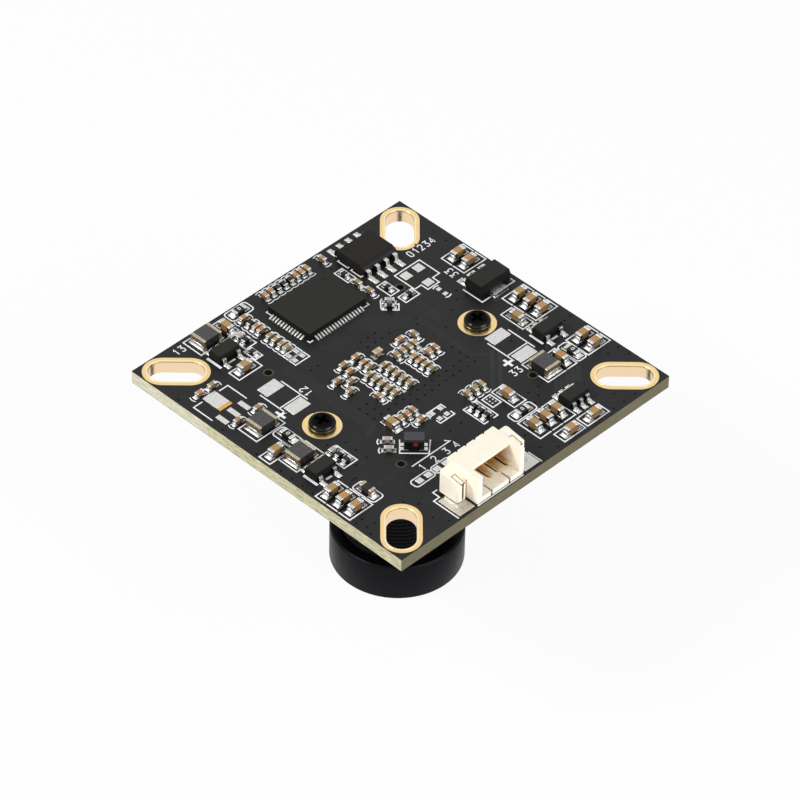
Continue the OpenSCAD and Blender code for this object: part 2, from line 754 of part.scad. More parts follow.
module solder_pads() {
  color("#d5d5d3") {
    for (p = concat(small_brown, small_tan, small_grey, small_black))
      place(p, pad_z) chip_pads(small_chip, pad_over);
    for (p = concat(medium_caps, medium_resistors, bead_places))
      place(p, pad_z) chip_pads(medium_chip, medium_pad_over);
    for (p = coil_places) place(p, pad_z) chip_pads(coil_chip, coil_pad_over);
    for (p = inductor_places) place(p, pad_z) for (s = [-1, 1])
      translate([s * (inductor[0] - inductor_end + pad_over) / 2, 0, 0])
        block([inductor_end + pad_over, inductor[1] + 0.1, pad_t]);
    place(processor_place, pad_z) processor_sides()
      pad_row($n, processor_pitch, $out - processor_lead_in,
        processor_lead_in + processor_reach + processor_toe, processor_lead_w + 0.02);
    package_pads(memory_place, 4, memory_pitch, 4, memory_pitch, memory_d / 2, memory_reach,
      memory_toe, 0.6);
    for (p = converter_places)
      package_pads(p, 3, converter_pitch, 2, 2 * converter_pitch, converter_d / 2,
        converter_reach, converter_toe, 0.55);
    package_pads(switch_place, 3, converter_pitch, 3, converter_pitch, converter_d / 2,
      converter_reach, converter_toe, 0.55);
    place(regulator_place, pad_z) {
      for (i = [-1 : 1]) translate([i * regulator_pitch, regulator_d / 2 + 0.6, 0])
        block([0.7, 1.3, pad_t]);
      translate([0, -regulator_d / 2 + 0.4, 0]) block([regulator_tab_w + 0.2, 2.5, pad_t]);
    }
    place(choke_place, pad_z) for (sx = [-1, 1], sy = [-1, 1])
      translate([sx * (choke[0] / 2 - 0.05), sy * choke[1] / 4, 0])
        block([choke_flange + 0.3, choke[1] / 3 + 0.05, pad_t]);
    for (p = bare_pads) place([p[0], p[1], p[4]], pad_z) block([p[2], p[3], pad_t]);
    translate([0, 0, pad_z - part_z]) at_connector() {
      for (x = contact_xs) translate([x, housing_d + tail_pad[1] / 2 - 0.2, 0])
        block([tail_pad[0], tail_pad[1], pad_t]);
      for (s = [-1, 1])
        translate([s * (housing_w / 2 + 0.3 + nail_pad[0] / 2), 0.05 + nail_pad[1] / 2, 0])
          block([nail_pad[0], nail_pad[1], pad_t]);
    }
  }
}

// ---- screws and holder ----
cross_turn = [20, 0];

module mounting_screw(side) {
  r = screw_head_d / 2;
  h = screw_head_h;
  color("#1b1b1d") translate([side * screw_span / 2, 0, board_top]) difference() {
    union() {
      rotate_extrude() polygon([
        [0, 0], [r - 0.2, 0], [r, h * 0.25], [r, h * 0.5], [r - 0.08, h * 0.72], [r - 0.24, h * 0.9],
        [r - 0.5, h], [0, h]
      ]);
      translate([0, 0, -screw_l]) cylinder(d = screw_d, h = screw_l + e);
    }
    rotate(cross_turn[side < 0 ? 0 : 1]) for (a = [0, 90]) rotate(a)
      block([screw_head_d * 0.54, screw_head_d * 0.16, h], h * 0.3);
  }
}

module lens_holder() {
  base_z = board_z - holder_base_h;
  tower_z = board_z - holder_h;
  color("#19191b") difference() {
    union() {
      block([holder_base_w, holder_base_w, holder_base_h], base_z);
      block([screw_span, holder_ear_d, holder_base_h], base_z);
      screw_places() translate([0, 0, base_z]) cylinder(d = holder_ear_d, h = holder_base_h);
      translate([0, 0, tower_z]) cylinder(d = holder_tower_d, h = holder_h - 1);
    }
    block([holder_pocket_w, holder_pocket_w, holder_pocket_h + 1], board_z - holder_pocket_h);
    translate([0, 0, tower_z - 1]) cylinder(r = thread_d / 2 + thread_clear, h = holder_h);
    screw_places() translate([0, 0, board_top - screw_l - 0.3]) cylinder(d = screw_d, h = screw_l);
  }
}

// ---- image sensor ----
sensor_floor = 0.35;
die_t = 0.2;
cover_glass_t = 0.3;

module sensor_package() {
  color("#2b2b2e") difference() {
    block([sensor_w, sensor_w, sensor_h], board_z - sensor_h);
    block([sensor_die_w + 1, sensor_die_d + 1, sensor_h], board_z - sensor_floor - sensor_h);
  }
}

module sensor_die() {
  color("#3d4a45") block([sensor_die_w, sensor_die_d, die_t], board_z - sensor_floor - die_t);
}

module sensor_cover_glass() {
  color("#b8c8c4") block([sensor_die_w + 2, sensor_die_d + 2, cover_glass_t],
    board_z - sensor_h - cover_glass_t);
}

// ---- lens ----
bore_r = barrel_bore_d / 2;
front_r = front_lens_d / 2;
front_seat_z = head_h - 0.6;
lens_top_z = head_h + barrel_h;
rear_lip_h = 0.8;
rear_seat_z = lens_top_z - rear_lip_h;
lens_fit_r = bore_r - lens_clear;
spacer_in_r = bore_r - 0.6;
second_bulge = 0.4;
middle_bulge = 0.5;
rear_bulge = 0.6;
rear_lens_h = 2.4;
middle_lens_h = 2.0;
second_lens_h = 1.8;
second_gap = 0.8;
middle_lens_z = (front_seat_z + rear_seat_z) / 2 - 0.4;
second_lens_z = front_seat_z + second_gap;
rear_lens_z = rear_seat_z - rear_lens_h + edge_sag(rear_bulge);
front_shoulder_z = 1.6;
retaining_ring_h = 1.0;
front_dome_r = front_r - 0.4;
front_apex_z = 0.45;
filter_t = 0.4;

// radius of a face that bulges by `bulge` over the inner lenses' radius
function face_r(bulge) = (pow(lens_fit_r, 2) + pow(bulge, 2)) / (2 * bulge);

// how far such a face has dropped where a spacer's inner edge meets it
function edge_sag(bulge) = face_r(bulge) - sqrt(pow(face_r(bulge), 2) - pow(spacer_in_r, 2));

module ring(z, h, r_out, r_in) {
  translate([0, 0, z]) difference() {
    cylinder(r = r_out, h = h);
    translate([0, 0, -1]) cylinder(r = r_in, h = h + 2);
  }
}

// a glass disc with a bulge on both faces
module glass_disc(z, h, bulge) {
  intersection() {
    translate([0, 0, z]) cylinder(r = lens_fit_r, h = h);
    translate([0, 0, z + face_r(bulge)]) sphere(face_r(bulge), $fn = 180);
    translate([0, 0, z + h - face_r(bulge)]) sphere(face_r(bulge), $fn = 180);
  }
}

module lens_barrel() {
  crest = thread_d / 2;
  root = crest - thread_depth;
  thread_z = head_h + 0.4;
  open_l = board_z - holder_h - thread_z;
  turns = floor(open_l / thread_pitch);
  thread = [
    for (i = [0 : turns - 1], k = [0, 1])
      [k == 0 ? root : crest, thread_z + (i + k * 0.5) * thread_pitch]
  ];
  color("#141416") rotate_extrude($fn = 96) polygon(concat(
    [[front_r + 0.8, 0], [head_d / 2 - 0.35, 0], [head_d / 2, 0.35], [head_d / 2, head_h - 0.2],
      [head_d / 2 - 0.2, head_h], [root, head_h], [root, thread_z - 0.01]],
    thread,
    [[crest, thread_z + turns * thread_pitch], [crest, lens_top_z - 0.3], [crest - 0.3, lens_top_z],
      [spacer_in_r, lens_top_z], [spacer_in_r, rear_seat_z], [bore_r, rear_seat_z],
      [bore_r, front_seat_z], [front_r + lens_clear, front_seat_z], [front_r + lens_clear, 0.5]]
  ));
}

module front_retaining_ring() {
  color("#1c1c1f") ring(front_shoulder_z - retaining_ring_h, retaining_ring_h, front_r,
    front_dome_r);
}

module front_lens() {
  dome_h = front_shoulder_z - front_apex_z;
  dome_curve_r = (front_dome_r * front_dome_r + dome_h * dome_h) / (2 * dome_h);
  color("#3b4a5a") difference() {
    union() {
      translate([0, 0, front_shoulder_z]) cylinder(r = front_r, h = front_seat_z - front_shoulder_z);
      intersection() {
        translate([0, 0, front_apex_z - 1]) cylinder(r = front_dome_r, h = dome_h + 1 + e);
        translate([0, 0, front_apex_z + dome_curve_r]) sphere(dome_curve_r);
      }
    }
    translate([0, 0, front_seat_z + 1.6]) sphere(spacer_in_r);
  }
}

module second_lens() {
  color("#46586a") glass_disc(second_lens_z, second_lens_h, second_bulge);
}

module middle_lens() {
  color("#46586a") glass_disc(middle_lens_z, middle_lens_h, middle_bulge);
}

module rear_lens() {
  color("#46586a") glass_disc(rear_lens_z, rear_lens_h, rear_bulge);
}

// each spacer's inner edge presses on the curved faces next to it
module front_spacer() {
  color("#101012") ring(front_seat_z, second_lens_z + edge_sag(second_bulge) - front_seat_z,
    lens_fit_r, spacer_in_r);
}

module middle_spacer() {
  low = second_lens_z + second_lens_h - edge_sag(second_bulge);
  high = middle_lens_z + edge_sag(middle_bulge);
  color("#101012") ring(low, high - low, lens_fit_r, spacer_in_r);
}

module rear_spacer() {
  low = middle_lens_z + middle_lens_h - edge_sag(middle_bulge);
  high = rear_lens_z + edge_sag(rear_bulge);
  color("#101012") ring(low, high - low, lens_fit_r, spacer_in_r);
}

module infrared_filter() {
  color("#5b3f52") translate([0, 0, lens_top_z]) cylinder(r = bore_r + 0.4, h = filter_t);
}

circuit_board();
solder_mask_top();
solder_mask_bottom();
slot_plating();
screw_lands();
solder_pads();
small_capacitors_brown();
small_capacitors_tan();
small_capacitor_ends();
small_beads();
small_bead_ends();
chip_coil();
small_resistors();
small_resistor_ends();
medium_capacitors();
medium_capacitor_ends();
link_resistors();
link_resistor_ends();
ferrite_bead();
ferrite_bead_ends();
image_processor();
image_processor_leads();
flash_memory();
flash_memory_leads();
linear_regulator();
linear_regulator_leads();
converter_body(0);  // converter_1
converter_body(1);  // converter_2
converter_body(2);  // converter_3
converter_leads(0);  // converter_1_leads
converter_leads(1);  // converter_2_leads
converter_leads(2);  // converter_3_leads
power_switch();
power_switch_leads();
power_inductor(0);  // power_inductor_1
power_inductor(1);  // power_inductor_2
power_inductor(2);  // power_inductor_3
power_inductor(3);  // power_inductor_4
inductor_terminals();
choke_core();
choke_winding();
choke_plate();
choke_electrodes();
connector_housing();
connector_contacts();
connector_solder_nails();
mounting_screw(-1);  // mounting_screw_left
mounting_screw(1);  // mounting_screw_right
lens_holder();
sensor_package();
sensor_die();
sensor_cover_glass();
lens_barrel();
front_retaining_ring();
front_lens();
second_lens();
middle_lens();
rear_lens();
union() {  // lens_spacers
  front_spacer();
  middle_spacer();
  rear_spacer();
}
infrared_filter();
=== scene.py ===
import math

import bmesh
import bpy
from mathutils import Matrix, Vector


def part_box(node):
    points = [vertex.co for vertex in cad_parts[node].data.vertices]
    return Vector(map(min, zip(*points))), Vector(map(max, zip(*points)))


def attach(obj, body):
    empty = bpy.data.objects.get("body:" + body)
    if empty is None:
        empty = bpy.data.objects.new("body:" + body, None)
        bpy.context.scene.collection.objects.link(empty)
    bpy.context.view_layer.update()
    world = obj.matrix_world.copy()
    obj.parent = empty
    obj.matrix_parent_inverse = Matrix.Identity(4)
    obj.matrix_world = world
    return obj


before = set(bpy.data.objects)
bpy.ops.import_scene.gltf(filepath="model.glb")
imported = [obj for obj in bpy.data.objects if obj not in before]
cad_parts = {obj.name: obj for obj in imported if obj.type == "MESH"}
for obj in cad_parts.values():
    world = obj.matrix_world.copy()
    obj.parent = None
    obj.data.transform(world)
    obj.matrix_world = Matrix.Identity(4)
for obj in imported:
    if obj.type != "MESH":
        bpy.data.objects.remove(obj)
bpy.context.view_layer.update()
mm = 0.001

boardLow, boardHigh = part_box("circuit_board")
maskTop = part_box("solder_mask_top")[1][2]
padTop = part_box("solder_pads")[1][2]
layoutSide = 38.0  # the side that the layout's numbers are given for
layoutX = (boardHigh[0] - boardLow[0]) / layoutSide
layoutY = (boardHigh[1] - boardLow[1]) / layoutSide


# a place on the board in layout numbers, and its height over the mask in mm
def onBoard(x, y, lift=0.0):
    return Vector((x * layoutX, y * layoutY, maskTop + lift * mm))


def addObject(name, data):
    thing = bpy.data.objects.new(name, data)
    bpy.context.scene.collection.objects.link(thing)
    return thing


# sets a socket's value, or links an output to it
def feed(socket, value):
    if isinstance(value, bpy.types.NodeSocket):
        socket.id_data.links.new(value, socket)
    elif socket.type == "RGBA" and len(value) == 3:
        socket.default_value = (*value, 1)
    else:
        socket.default_value = value


def addNode(tree, kind, values=(), **settings):
    node = tree.nodes.new("ShaderNode" + kind)
    for label, value in settings.items():
        setattr(node, label, value)
    for label, value in dict(values).items():
        feed(node.inputs[label], value)
    return node


def addMath(tree, operation, first, second=0.0, clamp=False):
    return addNode(tree, "Math", {0: first, 1: second}, operation=operation, use_clamp=clamp).outputs[0]


def mixTones(tree, share, under, over):
    values = {"Factor": share, "A": under, "B": over}
    return addNode(tree, "Mix", values, data_type="RGBA").outputs["Result"]


def newMaterial(name):
    material = bpy.data.materials.new(name)
    material.use_nodes = True
    return material, material.node_tree


def skinOf(material):
    return material.node_tree.nodes["Principled BSDF"].inputs


# camera, lights, floor
cameraSetup = {"eye": (-273.78, -264.09, 340.92), "target": (-2.84, -2.73, 0.0), "roll": 1.216,
    "lens": 230, "sensor": 36, "clip": 0.01}
lightSetup = {
    "key": {"place": (-260, 150, 300), "size": 130, "power": 1.2, "colour": (1.0, 0.985, 0.96)},
    "fill": {"place": (60, -330, 200), "size": 240, "power": 0.85, "colour": (0.96, 0.98, 1.0)},
}
worldSetup = {"strength": 0.33, "backdrop": 1.0}
floorSetup = {"side": 3.0, "colour": (0.86, 0.86, 0.86), "whiteness": 0.93}


def aim(thing, place, target, roll=0.0):
    forward = (target - place).normalized()
    right = forward.cross(Vector((0, 0, 1))).normalized()
    up = right.cross(forward)
    turn = Matrix((right, up, -forward)).transposed().to_4x4()
    thing.matrix_world = Matrix.Translation(place) @ turn @ Matrix.Rotation(math.radians(roll), 4, "Z")


def makeCamera():
    lens = bpy.data.cameras.new("camera")
    lens.lens = cameraSetup["lens"]
    lens.sensor_width = cameraSetup["sensor"]
    lens.clip_start = cameraSetup["clip"]
    camera = addObject("camera", lens)
    aim(camera, onBoard(*cameraSetup["eye"]), onBoard(*cameraSetup["target"]), cameraSetup["roll"])
    bpy.context.scene.camera = camera


def makeLights():
    for name, setup in lightSetup.items():
        lamp = bpy.data.lights.new(name, "AREA")
        lamp.shape = "SQUARE"
        lamp.size = setup["size"] * mm
        lamp.energy = setup["power"]
        lamp.color = setup["colour"]
        aim(addObject(name, lamp), onBoard(*setup["place"]), onBoard(0, 0))


# 1 for the rays that show the backdrop: straight, mirrored or through glass
def seenRays(tree):
    path = addNode(tree, "LightPath").outputs
    mirrored = addMath(tree, "MAXIMUM", path["Is Camera Ray"], path["Is Glossy Ray"])
    return addMath(tree, "MAXIMUM", mirrored, path["Is Transmission Ray"])


def makeWorld():
    world = bpy.data.worlds.new("studio")
    world.use_nodes = True
    bpy.context.scene.world = world
    tree = world.node_tree
    level = addNode(tree, "Mix", {"Factor": seenRays(tree), "A": worldSetup["strength"],
        "B": worldSetup["backdrop"]})
    background = tree.nodes["Background"].inputs
    feed(background["Color"], (1, 1, 1))
    feed(background["Strength"], level.outputs["Result"])


def makeFloor():
    half = floorSetup["side"] / 2
    mesh = bpy.data.meshes.new("floor")
    mesh.from_pydata([(-half, -half, 0), (half, -half, 0), (half, half, 0), (-half, half, 0)], [],
        [(0, 1, 2, 3)])
    material, tree = newMaterial("paleFloor")
    tree.nodes.clear()
    paint = addNode(tree, "BsdfDiffuse", {"Color": floorSetup["colour"]})
    glow = addNode(tree, "Emission")
    share = addMath(tree, "MULTIPLY", seenRays(tree), floorSetup["whiteness"])
    mix = addNode(tree, "MixShader", {"Fac": share, 1: paint.outputs[0], 2: glow.outputs[0]})
    addNode(tree, "OutputMaterial", {"Surface": mix.outputs[0]})
    mesh.materials.append(material)
    floor = addObject("floor", mesh)


bpy.context.scene.view_settings.view_transform = "Standard"
makeCamera()
makeLights()
makeWorld()
makeFloor()
print("camera, lights and floor are up")


# shared shader groups
socketKinds = {1: "NodeSocketFloat", 3: "NodeSocketVector", 4: "NodeSocketColor"}


# "inputs" has a value for each socket, which gives its kind; "outputs" has the kind's length
def newGroup(name, inputs, outputs):
    group = bpy.data.node_groups.new(name, "ShaderNodeTree")
    for label, value in inputs.items():
        kind = socketKinds[len(value) if isinstance(value, tuple) else 1]
        socket = group.interface.new_socket(name=label, in_out="INPUT", socket_type=kind)
        socket.default_value = value
    for label, length in outputs.items():
        group.interface.new_socket(name=label, in_out="OUTPUT", socket_type=socketKinds[length])
    source, sink = (group.nodes.new(kind) for kind in ("NodeGroupInput", "NodeGroupOutput"))
    return group, source.outputs, sink.inputs


def placeIn(group):
    return addNode(group, "TexCoord").outputs["Object"]


# two tones that mottle; Stretch draws the spots out along the board's plane
def makeMottleGroup():
    inputs = {"Light": (0.5, 0.5, 0.5, 1), "Dark": (0.4, 0.4, 0.4, 1), "Scale": 2000.0, "Contrast": 1.0,
        "Stretch": (1.0, 1.0, 1.0)}
    group, source, sink = newGroup("mottle", inputs, {"Color": 4, "Mask": 1})
    values = {0: placeIn(group), 1: source["Stretch"]}
    drawn = addNode(group, "VectorMath", values, operation="MULTIPLY")
    noise = addNode(group, "TexNoise", {"Vector": drawn.outputs["Vector"], "Scale": source["Scale"],
        "Detail": 5.0, "Roughness": 0.6})
    centred = addMath(group, "SUBTRACT", noise.outputs["Fac"], 0.5)
    spread = addMath(group, "MULTIPLY", addMath(group, "MULTIPLY", centred, 2.2), source["Contrast"])
    mask = addMath(group, "ADD", spread, 0.5, clamp=True)
    feed(sink["Color"], mixTones(group, mask, source["Dark"], source["Light"]))
    feed(sink["Mask"], mask)
    return group


# a fine relief, given out as a normal
def makeGrainGroup():
    inputs = {"Scale": 9000.0, "Strength": 0.3, "Depth": 0.00002}
    group, source, sink = newGroup("grain", inputs, {"Normal": 3})
    values = {"Vector": placeIn(group), "Scale": source["Scale"], "Detail": 4.0}
    noise = addNode(group, "TexNoise", values)
    relief = addNode(group, "Bump", {"Strength": source["Strength"], "Distance": source["Depth"],
        "Height": noise.outputs["Fac"]})
    feed(sink["Normal"], relief.outputs["Normal"])
    return group


# 1 inside a box of the object's space, with soft sides
def makeZoneGroup():
    inputs = {"Centre": (0.0, 0.0, 0.0), "Half": (0.001, 0.001, 0.001), "Turn": 0.0, "Soft": 0.0001}
    group, source, sink = newGroup("zone", inputs, {"Mask": 1})
    turned = addNode(group, "VectorRotate", {"Vector": placeIn(group), "Center": source["Centre"],
        "Angle": source["Turn"]}, rotation_type="Z_AXIS")
    away = addNode(group, "VectorMath", {0: turned.outputs["Vector"], 1: source["Centre"]},
        operation="SUBTRACT")
    size = addNode(group, "VectorMath", {0: away.outputs["Vector"]}, operation="ABSOLUTE")
    room = addNode(group, "VectorMath", {0: source["Half"], 1: size.outputs["Vector"]},
        operation="SUBTRACT")
    split = addNode(group, "SeparateXYZ", {"Vector": room.outputs["Vector"]}).outputs
    least = addMath(group, "MINIMUM", addMath(group, "MINIMUM", split["X"], split["Y"]), split["Z"])
    feed(sink["Mask"], addMath(group, "DIVIDE", least, source["Soft"], clamp=True))
    return group


mottleGroup = makeMottleGroup()
grainGroup = makeGrainGroup()
zoneGroup = makeZoneGroup()


def addGroup(tree, group, **values):
    return addNode(tree, "Group", values, node_tree=group).outputs


# one finish: two tones that mottle, a roughness that varies with them, and a fine relief
def makeFinish(name, light, dark, roughness, scale=2500, contrast=1.0, stretch=(1, 1, 1), bump=0.0,
        bumpScale=9000, metallic=0.0, specular=0.5, roughSpread=0.08, **sockets):
    material, tree = newMaterial(name)
    skin = skinOf(material)
    mottle = addGroup(tree, mottleGroup, Light=light, Dark=dark, Scale=scale, Contrast=contrast,
        Stretch=stretch)
    rough = addNode(tree, "MapRange", {"Value": mottle["Mask"], "To Min": roughness - roughSpread,
        "To Max": roughness + roughSpread})
    feed(skin["Base Color"], mottle["Color"])
    feed(skin["Roughness"], rough.outputs["Result"])
    feed(skin["Metallic"], metallic)
    feed(skin["Specular IOR Level"], specular)
    for label, value in sockets.items():
        feed(skin[label.replace("_", " ")], value)
    if bump:
        feed(skin["Normal"], addGroup(tree, grainGroup, Scale=bumpScale, Strength=bump)["Normal"])
    return material


# lays another tone over a finish where a mask is 1
def layTone(material, mask, tone, share=1.0):
    tree = material.node_tree
    colour = skinOf(material)["Base Color"]
    if share < 1.0:
        mask = addMath(tree, "MULTIPLY", mask, share)
    feed(colour, mixTones(tree, mask, colour.links[0].from_socket, tone))


def zoneMask(material, centre, half, soft=0.05, turn=0.0):
    return addGroup(material.node_tree, zoneGroup, Centre=centre, Half=half, Soft=soft * mm,
        Turn=math.radians(turn))["Mask"]


def layZone(material, centre, half, tone, soft=0.02, turn=0.0, share=1.0):
    layTone(material, zoneMask(material, centre, half, soft, turn), tone, share)


def normalOf(material):
    tree = material.node_tree
    geometry = addNode(tree, "NewGeometry").outputs
    return addNode(tree, "SeparateXYZ", {"Vector": geometry["Normal"]}).outputs


# 1 where the surface stands upright, 0 where it lies flat
def uprightMask(material):
    tree = material.node_tree
    flat = addMath(tree, "ABSOLUTE", normalOf(material)["Z"])
    return addMath(tree, "SUBTRACT", 1.0, flat, clamp=True)


# fired ceramic whose tone changes from part to part
def makeCeramic(name, tones, share=0.75):
    material = makeFinish(name, tones[0], tones[1], 0.38, scale=5000, bump=0.3, specular=0.35)
    tree = material.node_tree
    geometry = addNode(tree, "NewGeometry").outputs
    ramp = addNode(tree, "ValToRGB", {"Fac": geometry["Random Per Island"]})
    steps = ramp.color_ramp
    steps.interpolation = "CONSTANT"
    for i, tone in enumerate(tones):
        element = steps.elements[0] if i == 0 else steps.elements.new(i / len(tones))
        element.color = (*tone, 1)
    steps.elements[-1].color = (*tones[-1], 1)
    layTone(material, share, ramp.outputs["Color"])
    return material


glassSetup = {"Roughness": 0.02, "Transmission Weight": 1.0, "IOR": 1.52, "Coat Weight": 0.4,
    "Coat Tint": (0.6, 0.5, 0.9)}


def makeGlass(name, colour):
    material, tree = newMaterial(name)
    for label, value in {"Base Color": colour, **glassSetup}.items():
        feed(skinOf(material)[label], value)
    return material


maskBlack = makeFinish("maskBlack", (0.015, 0.015, 0.016), (0.01, 0.01, 0.0108), 0.42, scale=700,
    bump=0.2, bumpScale=4000, specular=0.18)
traceBlack = makeFinish("traceBlack", (0.023, 0.023, 0.025), (0.017, 0.017, 0.0185), 0.4, scale=900,
    bump=0.15, bumpScale=4000, specular=0.2)
laminate = makeFinish("laminate", (0.73, 0.7, 0.48), (0.4, 0.375, 0.21), 0.65, scale=900, contrast=2.0,
    stretch=(1, 1, 7), bump=0.5, specular=0.3)
goldPlate = makeFinish("goldPlate", (0.91, 0.69, 0.345), (0.85, 0.62, 0.29), 0.28, scale=1500,
    bump=0.05, metallic=1.0)
solderTin = makeFinish("solderTin", (0.8, 0.8, 0.78), (0.48, 0.48, 0.47), 0.3, scale=4500, contrast=1.5,
    bump=0.8, bumpScale=6000, metallic=1.0, roughSpread=0.12)
padTin = makeFinish("padTin", (0.76, 0.755, 0.74), (0.58, 0.575, 0.56), 0.34, scale=6000, contrast=1.3,
    bump=0.7, bumpScale=5000, metallic=1.0, roughSpread=0.1)
leadTin = makeFinish("leadTin", (0.74, 0.74, 0.71), (0.5, 0.5, 0.48), 0.32, scale=4000, bump=0.3,
    metallic=1.0)
packageBlack = makeFinish("packageBlack", (0.03, 0.0292, 0.0275), (0.0195, 0.019, 0.0178), 0.7,
    scale=6000, contrast=1.4, bump=0.6, bumpScale=12000, specular=0.1)
resistorGlaze = makeFinish("resistorGlaze", (0.02, 0.019, 0.018), (0.012, 0.011, 0.011), 0.3,
    scale=3000, specular=0.25)
ferriteGrey = makeFinish("ferriteGrey", (0.085, 0.082, 0.085), (0.05, 0.048, 0.05), 0.5, scale=5000,
    contrast=1.3, bump=0.7, specular=0.2)
chokeFerrite = makeFinish("chokeFerrite", (0.062, 0.062, 0.066), (0.038, 0.038, 0.041), 0.4, scale=4000,
    bump=0.5, specular=0.25)
chokeWire = makeFinish("chokeWire", (0.012, 0.01, 0.01), (0.006, 0.005, 0.005), 0.4, scale=6000,
    specular=0.15)
terminalTan = makeFinish("terminalTan", (0.56, 0.5, 0.39), (0.4, 0.35, 0.26), 0.38, scale=3500,
    contrast=1.3, bump=0.4, metallic=1.0)
sensorCeramic = makeFinish("sensorCeramic", (0.09, 0.085, 0.075), (0.05, 0.048, 0.04), 0.5)
connectorCream = makeFinish("connectorCream", (0.96, 0.905, 0.79), (0.93, 0.86, 0.72), 0.42, scale=1200,
    bump=0.15, Subsurface_Weight=0.2, Subsurface_Scale=0.0005)
screwBlack = makeFinish("screwBlack", (0.0022, 0.0022, 0.0025), (0.0015, 0.0015, 0.0018), 0.17,
    scale=5000, specular=0.03, Coat_Roughness=0.12)
holderBlack = makeFinish("holderBlack", (0.006, 0.006, 0.007), (0.004, 0.004, 0.005), 0.5, scale=4000,
    bump=0.5, specular=0.05)
lensBlack = makeFinish("lensBlack", (0.0075, 0.0068, 0.01), (0.005, 0.0045, 0.0068), 0.36, scale=6000,
    bump=0.2, specular=0.07)
siliconGreen = makeFinish("siliconGreen", (0.05, 0.07, 0.06), (0.03, 0.045, 0.04), 0.15, scale=3000)
beadGrey = makeFinish("beadGrey", (0.5, 0.44, 0.41), (0.38, 0.33, 0.31), 0.4, scale=5000, bump=0.3)
legendWhite = makeFinish("legendWhite", (0.95, 0.96, 0.98), (0.8, 0.81, 0.84), 0.6, scale=5000,
    contrast=1.3, bump=0.2)
viaDark = makeFinish("viaDark", (0.004, 0.004, 0.0045), (0.002, 0.002, 0.0024), 0.45, specular=0.05)
brownCeramic = makeCeramic("brownCeramic", [(0.46, 0.225, 0.1), (0.37, 0.245, 0.1), (0.49, 0.28, 0.14),
    (0.42, 0.18, 0.085)])
mediumCeramic = makeCeramic("mediumCeramic", [(0.48, 0.235, 0.095), (0.36, 0.255, 0.085),
    (0.43, 0.23, 0.095), (0.33, 0.24, 0.095)])
tanCeramic = makeCeramic("tanCeramic", [(0.36, 0.26, 0.12), (0.3, 0.23, 0.11), (0.42, 0.3, 0.15),
    (0.34, 0.21, 0.1)])
coilCeramic = makeFinish("coilCeramic", (0.5, 0.36, 0.22), (0.4, 0.3, 0.18), 0.35, scale=3000, bump=0.3)
nailTin = makeFinish("nailTin", (0.58, 0.56, 0.52), (0.42, 0.4, 0.37), 0.5, scale=4000, bump=0.3,
    metallic=1.0)
contactTan = makeFinish("contactTan", (0.72, 0.6, 0.4), (0.52, 0.41, 0.25), 0.35, scale=3000, bump=0.2,
    metallic=1.0)
# painted shadow for the strips between the socket's blades
gapShadow = makeFinish("gapShadow", (0.02, 0.012, 0.006), (0.01, 0.006, 0.003), 0.6, specular=0.1)
threadBlack = makeFinish("threadBlack", (0.003, 0.003, 0.0034), (0.002, 0.002, 0.0023), 0.4, scale=4000,
    specular=0.05)
# painted highlight and painted shade for the edges of the slots' lands
landRimHighlight = makeFinish("landRimHighlight", (1.0, 0.87, 0.62), (0.95, 0.78, 0.5), 0.25, scale=2500, metallic=1.0)
landShade = makeFinish("landShade", (0.6, 0.45, 0.25), (0.48, 0.35, 0.18), 0.35, scale=2500,
    metallic=1.0)
lensGlass = makeGlass("lensGlass", (0.93, 0.95, 1.0))
filterGlass = makeGlass("filterGlass", (0.85, 0.45, 0.6))

# the plated walls of the slots are paler and pinker than the lands
layTone(goldPlate, uprightMask(goldPlate), (0.9, 0.7, 0.46))

# the front and bore tones are painted shade, and the left side's pale tone is painted light
laminateSetup = {"inset": 0.2, "deep": 5.0, "rim": 0.05, "long": 50.0, "ring": (0.06, 0.055, 0.028),
    "bore": (0.004, 0.0035, 0.002), "front": (0.09, 0.072, 0.034), "frontShadeShare": 0.86,
    "leftLight": (0.94, 0.93, 0.84), "leftLightShare": 0.3, "leftLightHalf": 11.0}


def shadeLaminate():
    setup = laminateSetup
    left, front, back = boardLow[0], boardLow[1], boardHigh[1]
    middle = (Vector(boardLow) + Vector(boardHigh)) / 2
    middle.z = maskTop
    room = (Vector(boardHigh) - Vector(boardLow)) / 2
    deep, rim = setup["deep"] * mm, setup["rim"] * mm
    # within the outline the bare laminate is only seen at the guide holes, where it is dark, and the
    # bore walls get a near-black painted shade
    half = Vector((room.x - setup["inset"] * mm, room.y - setup["inset"] * mm, deep))
    inner = zoneMask(laminate, middle, half)
    layTone(laminate, inner, setup["ring"])
    bores = addMath(laminate.node_tree, "MULTIPLY", inner, uprightMask(laminate))
    layTone(laminate, bores, setup["bore"])
    # painted shade makes the front side browner, and painted light makes the left one pale towards the
    # back corner
    layZone(laminate, Vector((middle.x, front, maskTop)), Vector((setup["long"] * mm, rim, deep)),
        setup["front"], share=setup["frontShadeShare"])
    layZone(laminate, Vector((left, back, maskTop)), Vector((rim, setup["leftLightHalf"] * mm, 2 * deep)),
        setup["leftLight"], share=setup["leftLightShare"])


shadeLaminate()
# painted shade makes the lens head's flat faces darker than its turned side
lensFlatShade = addMath(lensBlack.node_tree, "SUBTRACT", 1.0, uprightMask(lensBlack), clamp=True)
layTone(lensBlack, lensFlatShade, (0.0018, 0.0017, 0.0022))

# the crest tones are painted highlights
crestSetup = {"sharp": 14.0, "tone": (0.014, 0.014, 0.015), "crestHighlight": (0.2, 0.2, 0.19),
    "litPlace": (-5.6, 2.6, 15), "litHalf": (2.2, 3.6, 9), "litSoft": 1.2}
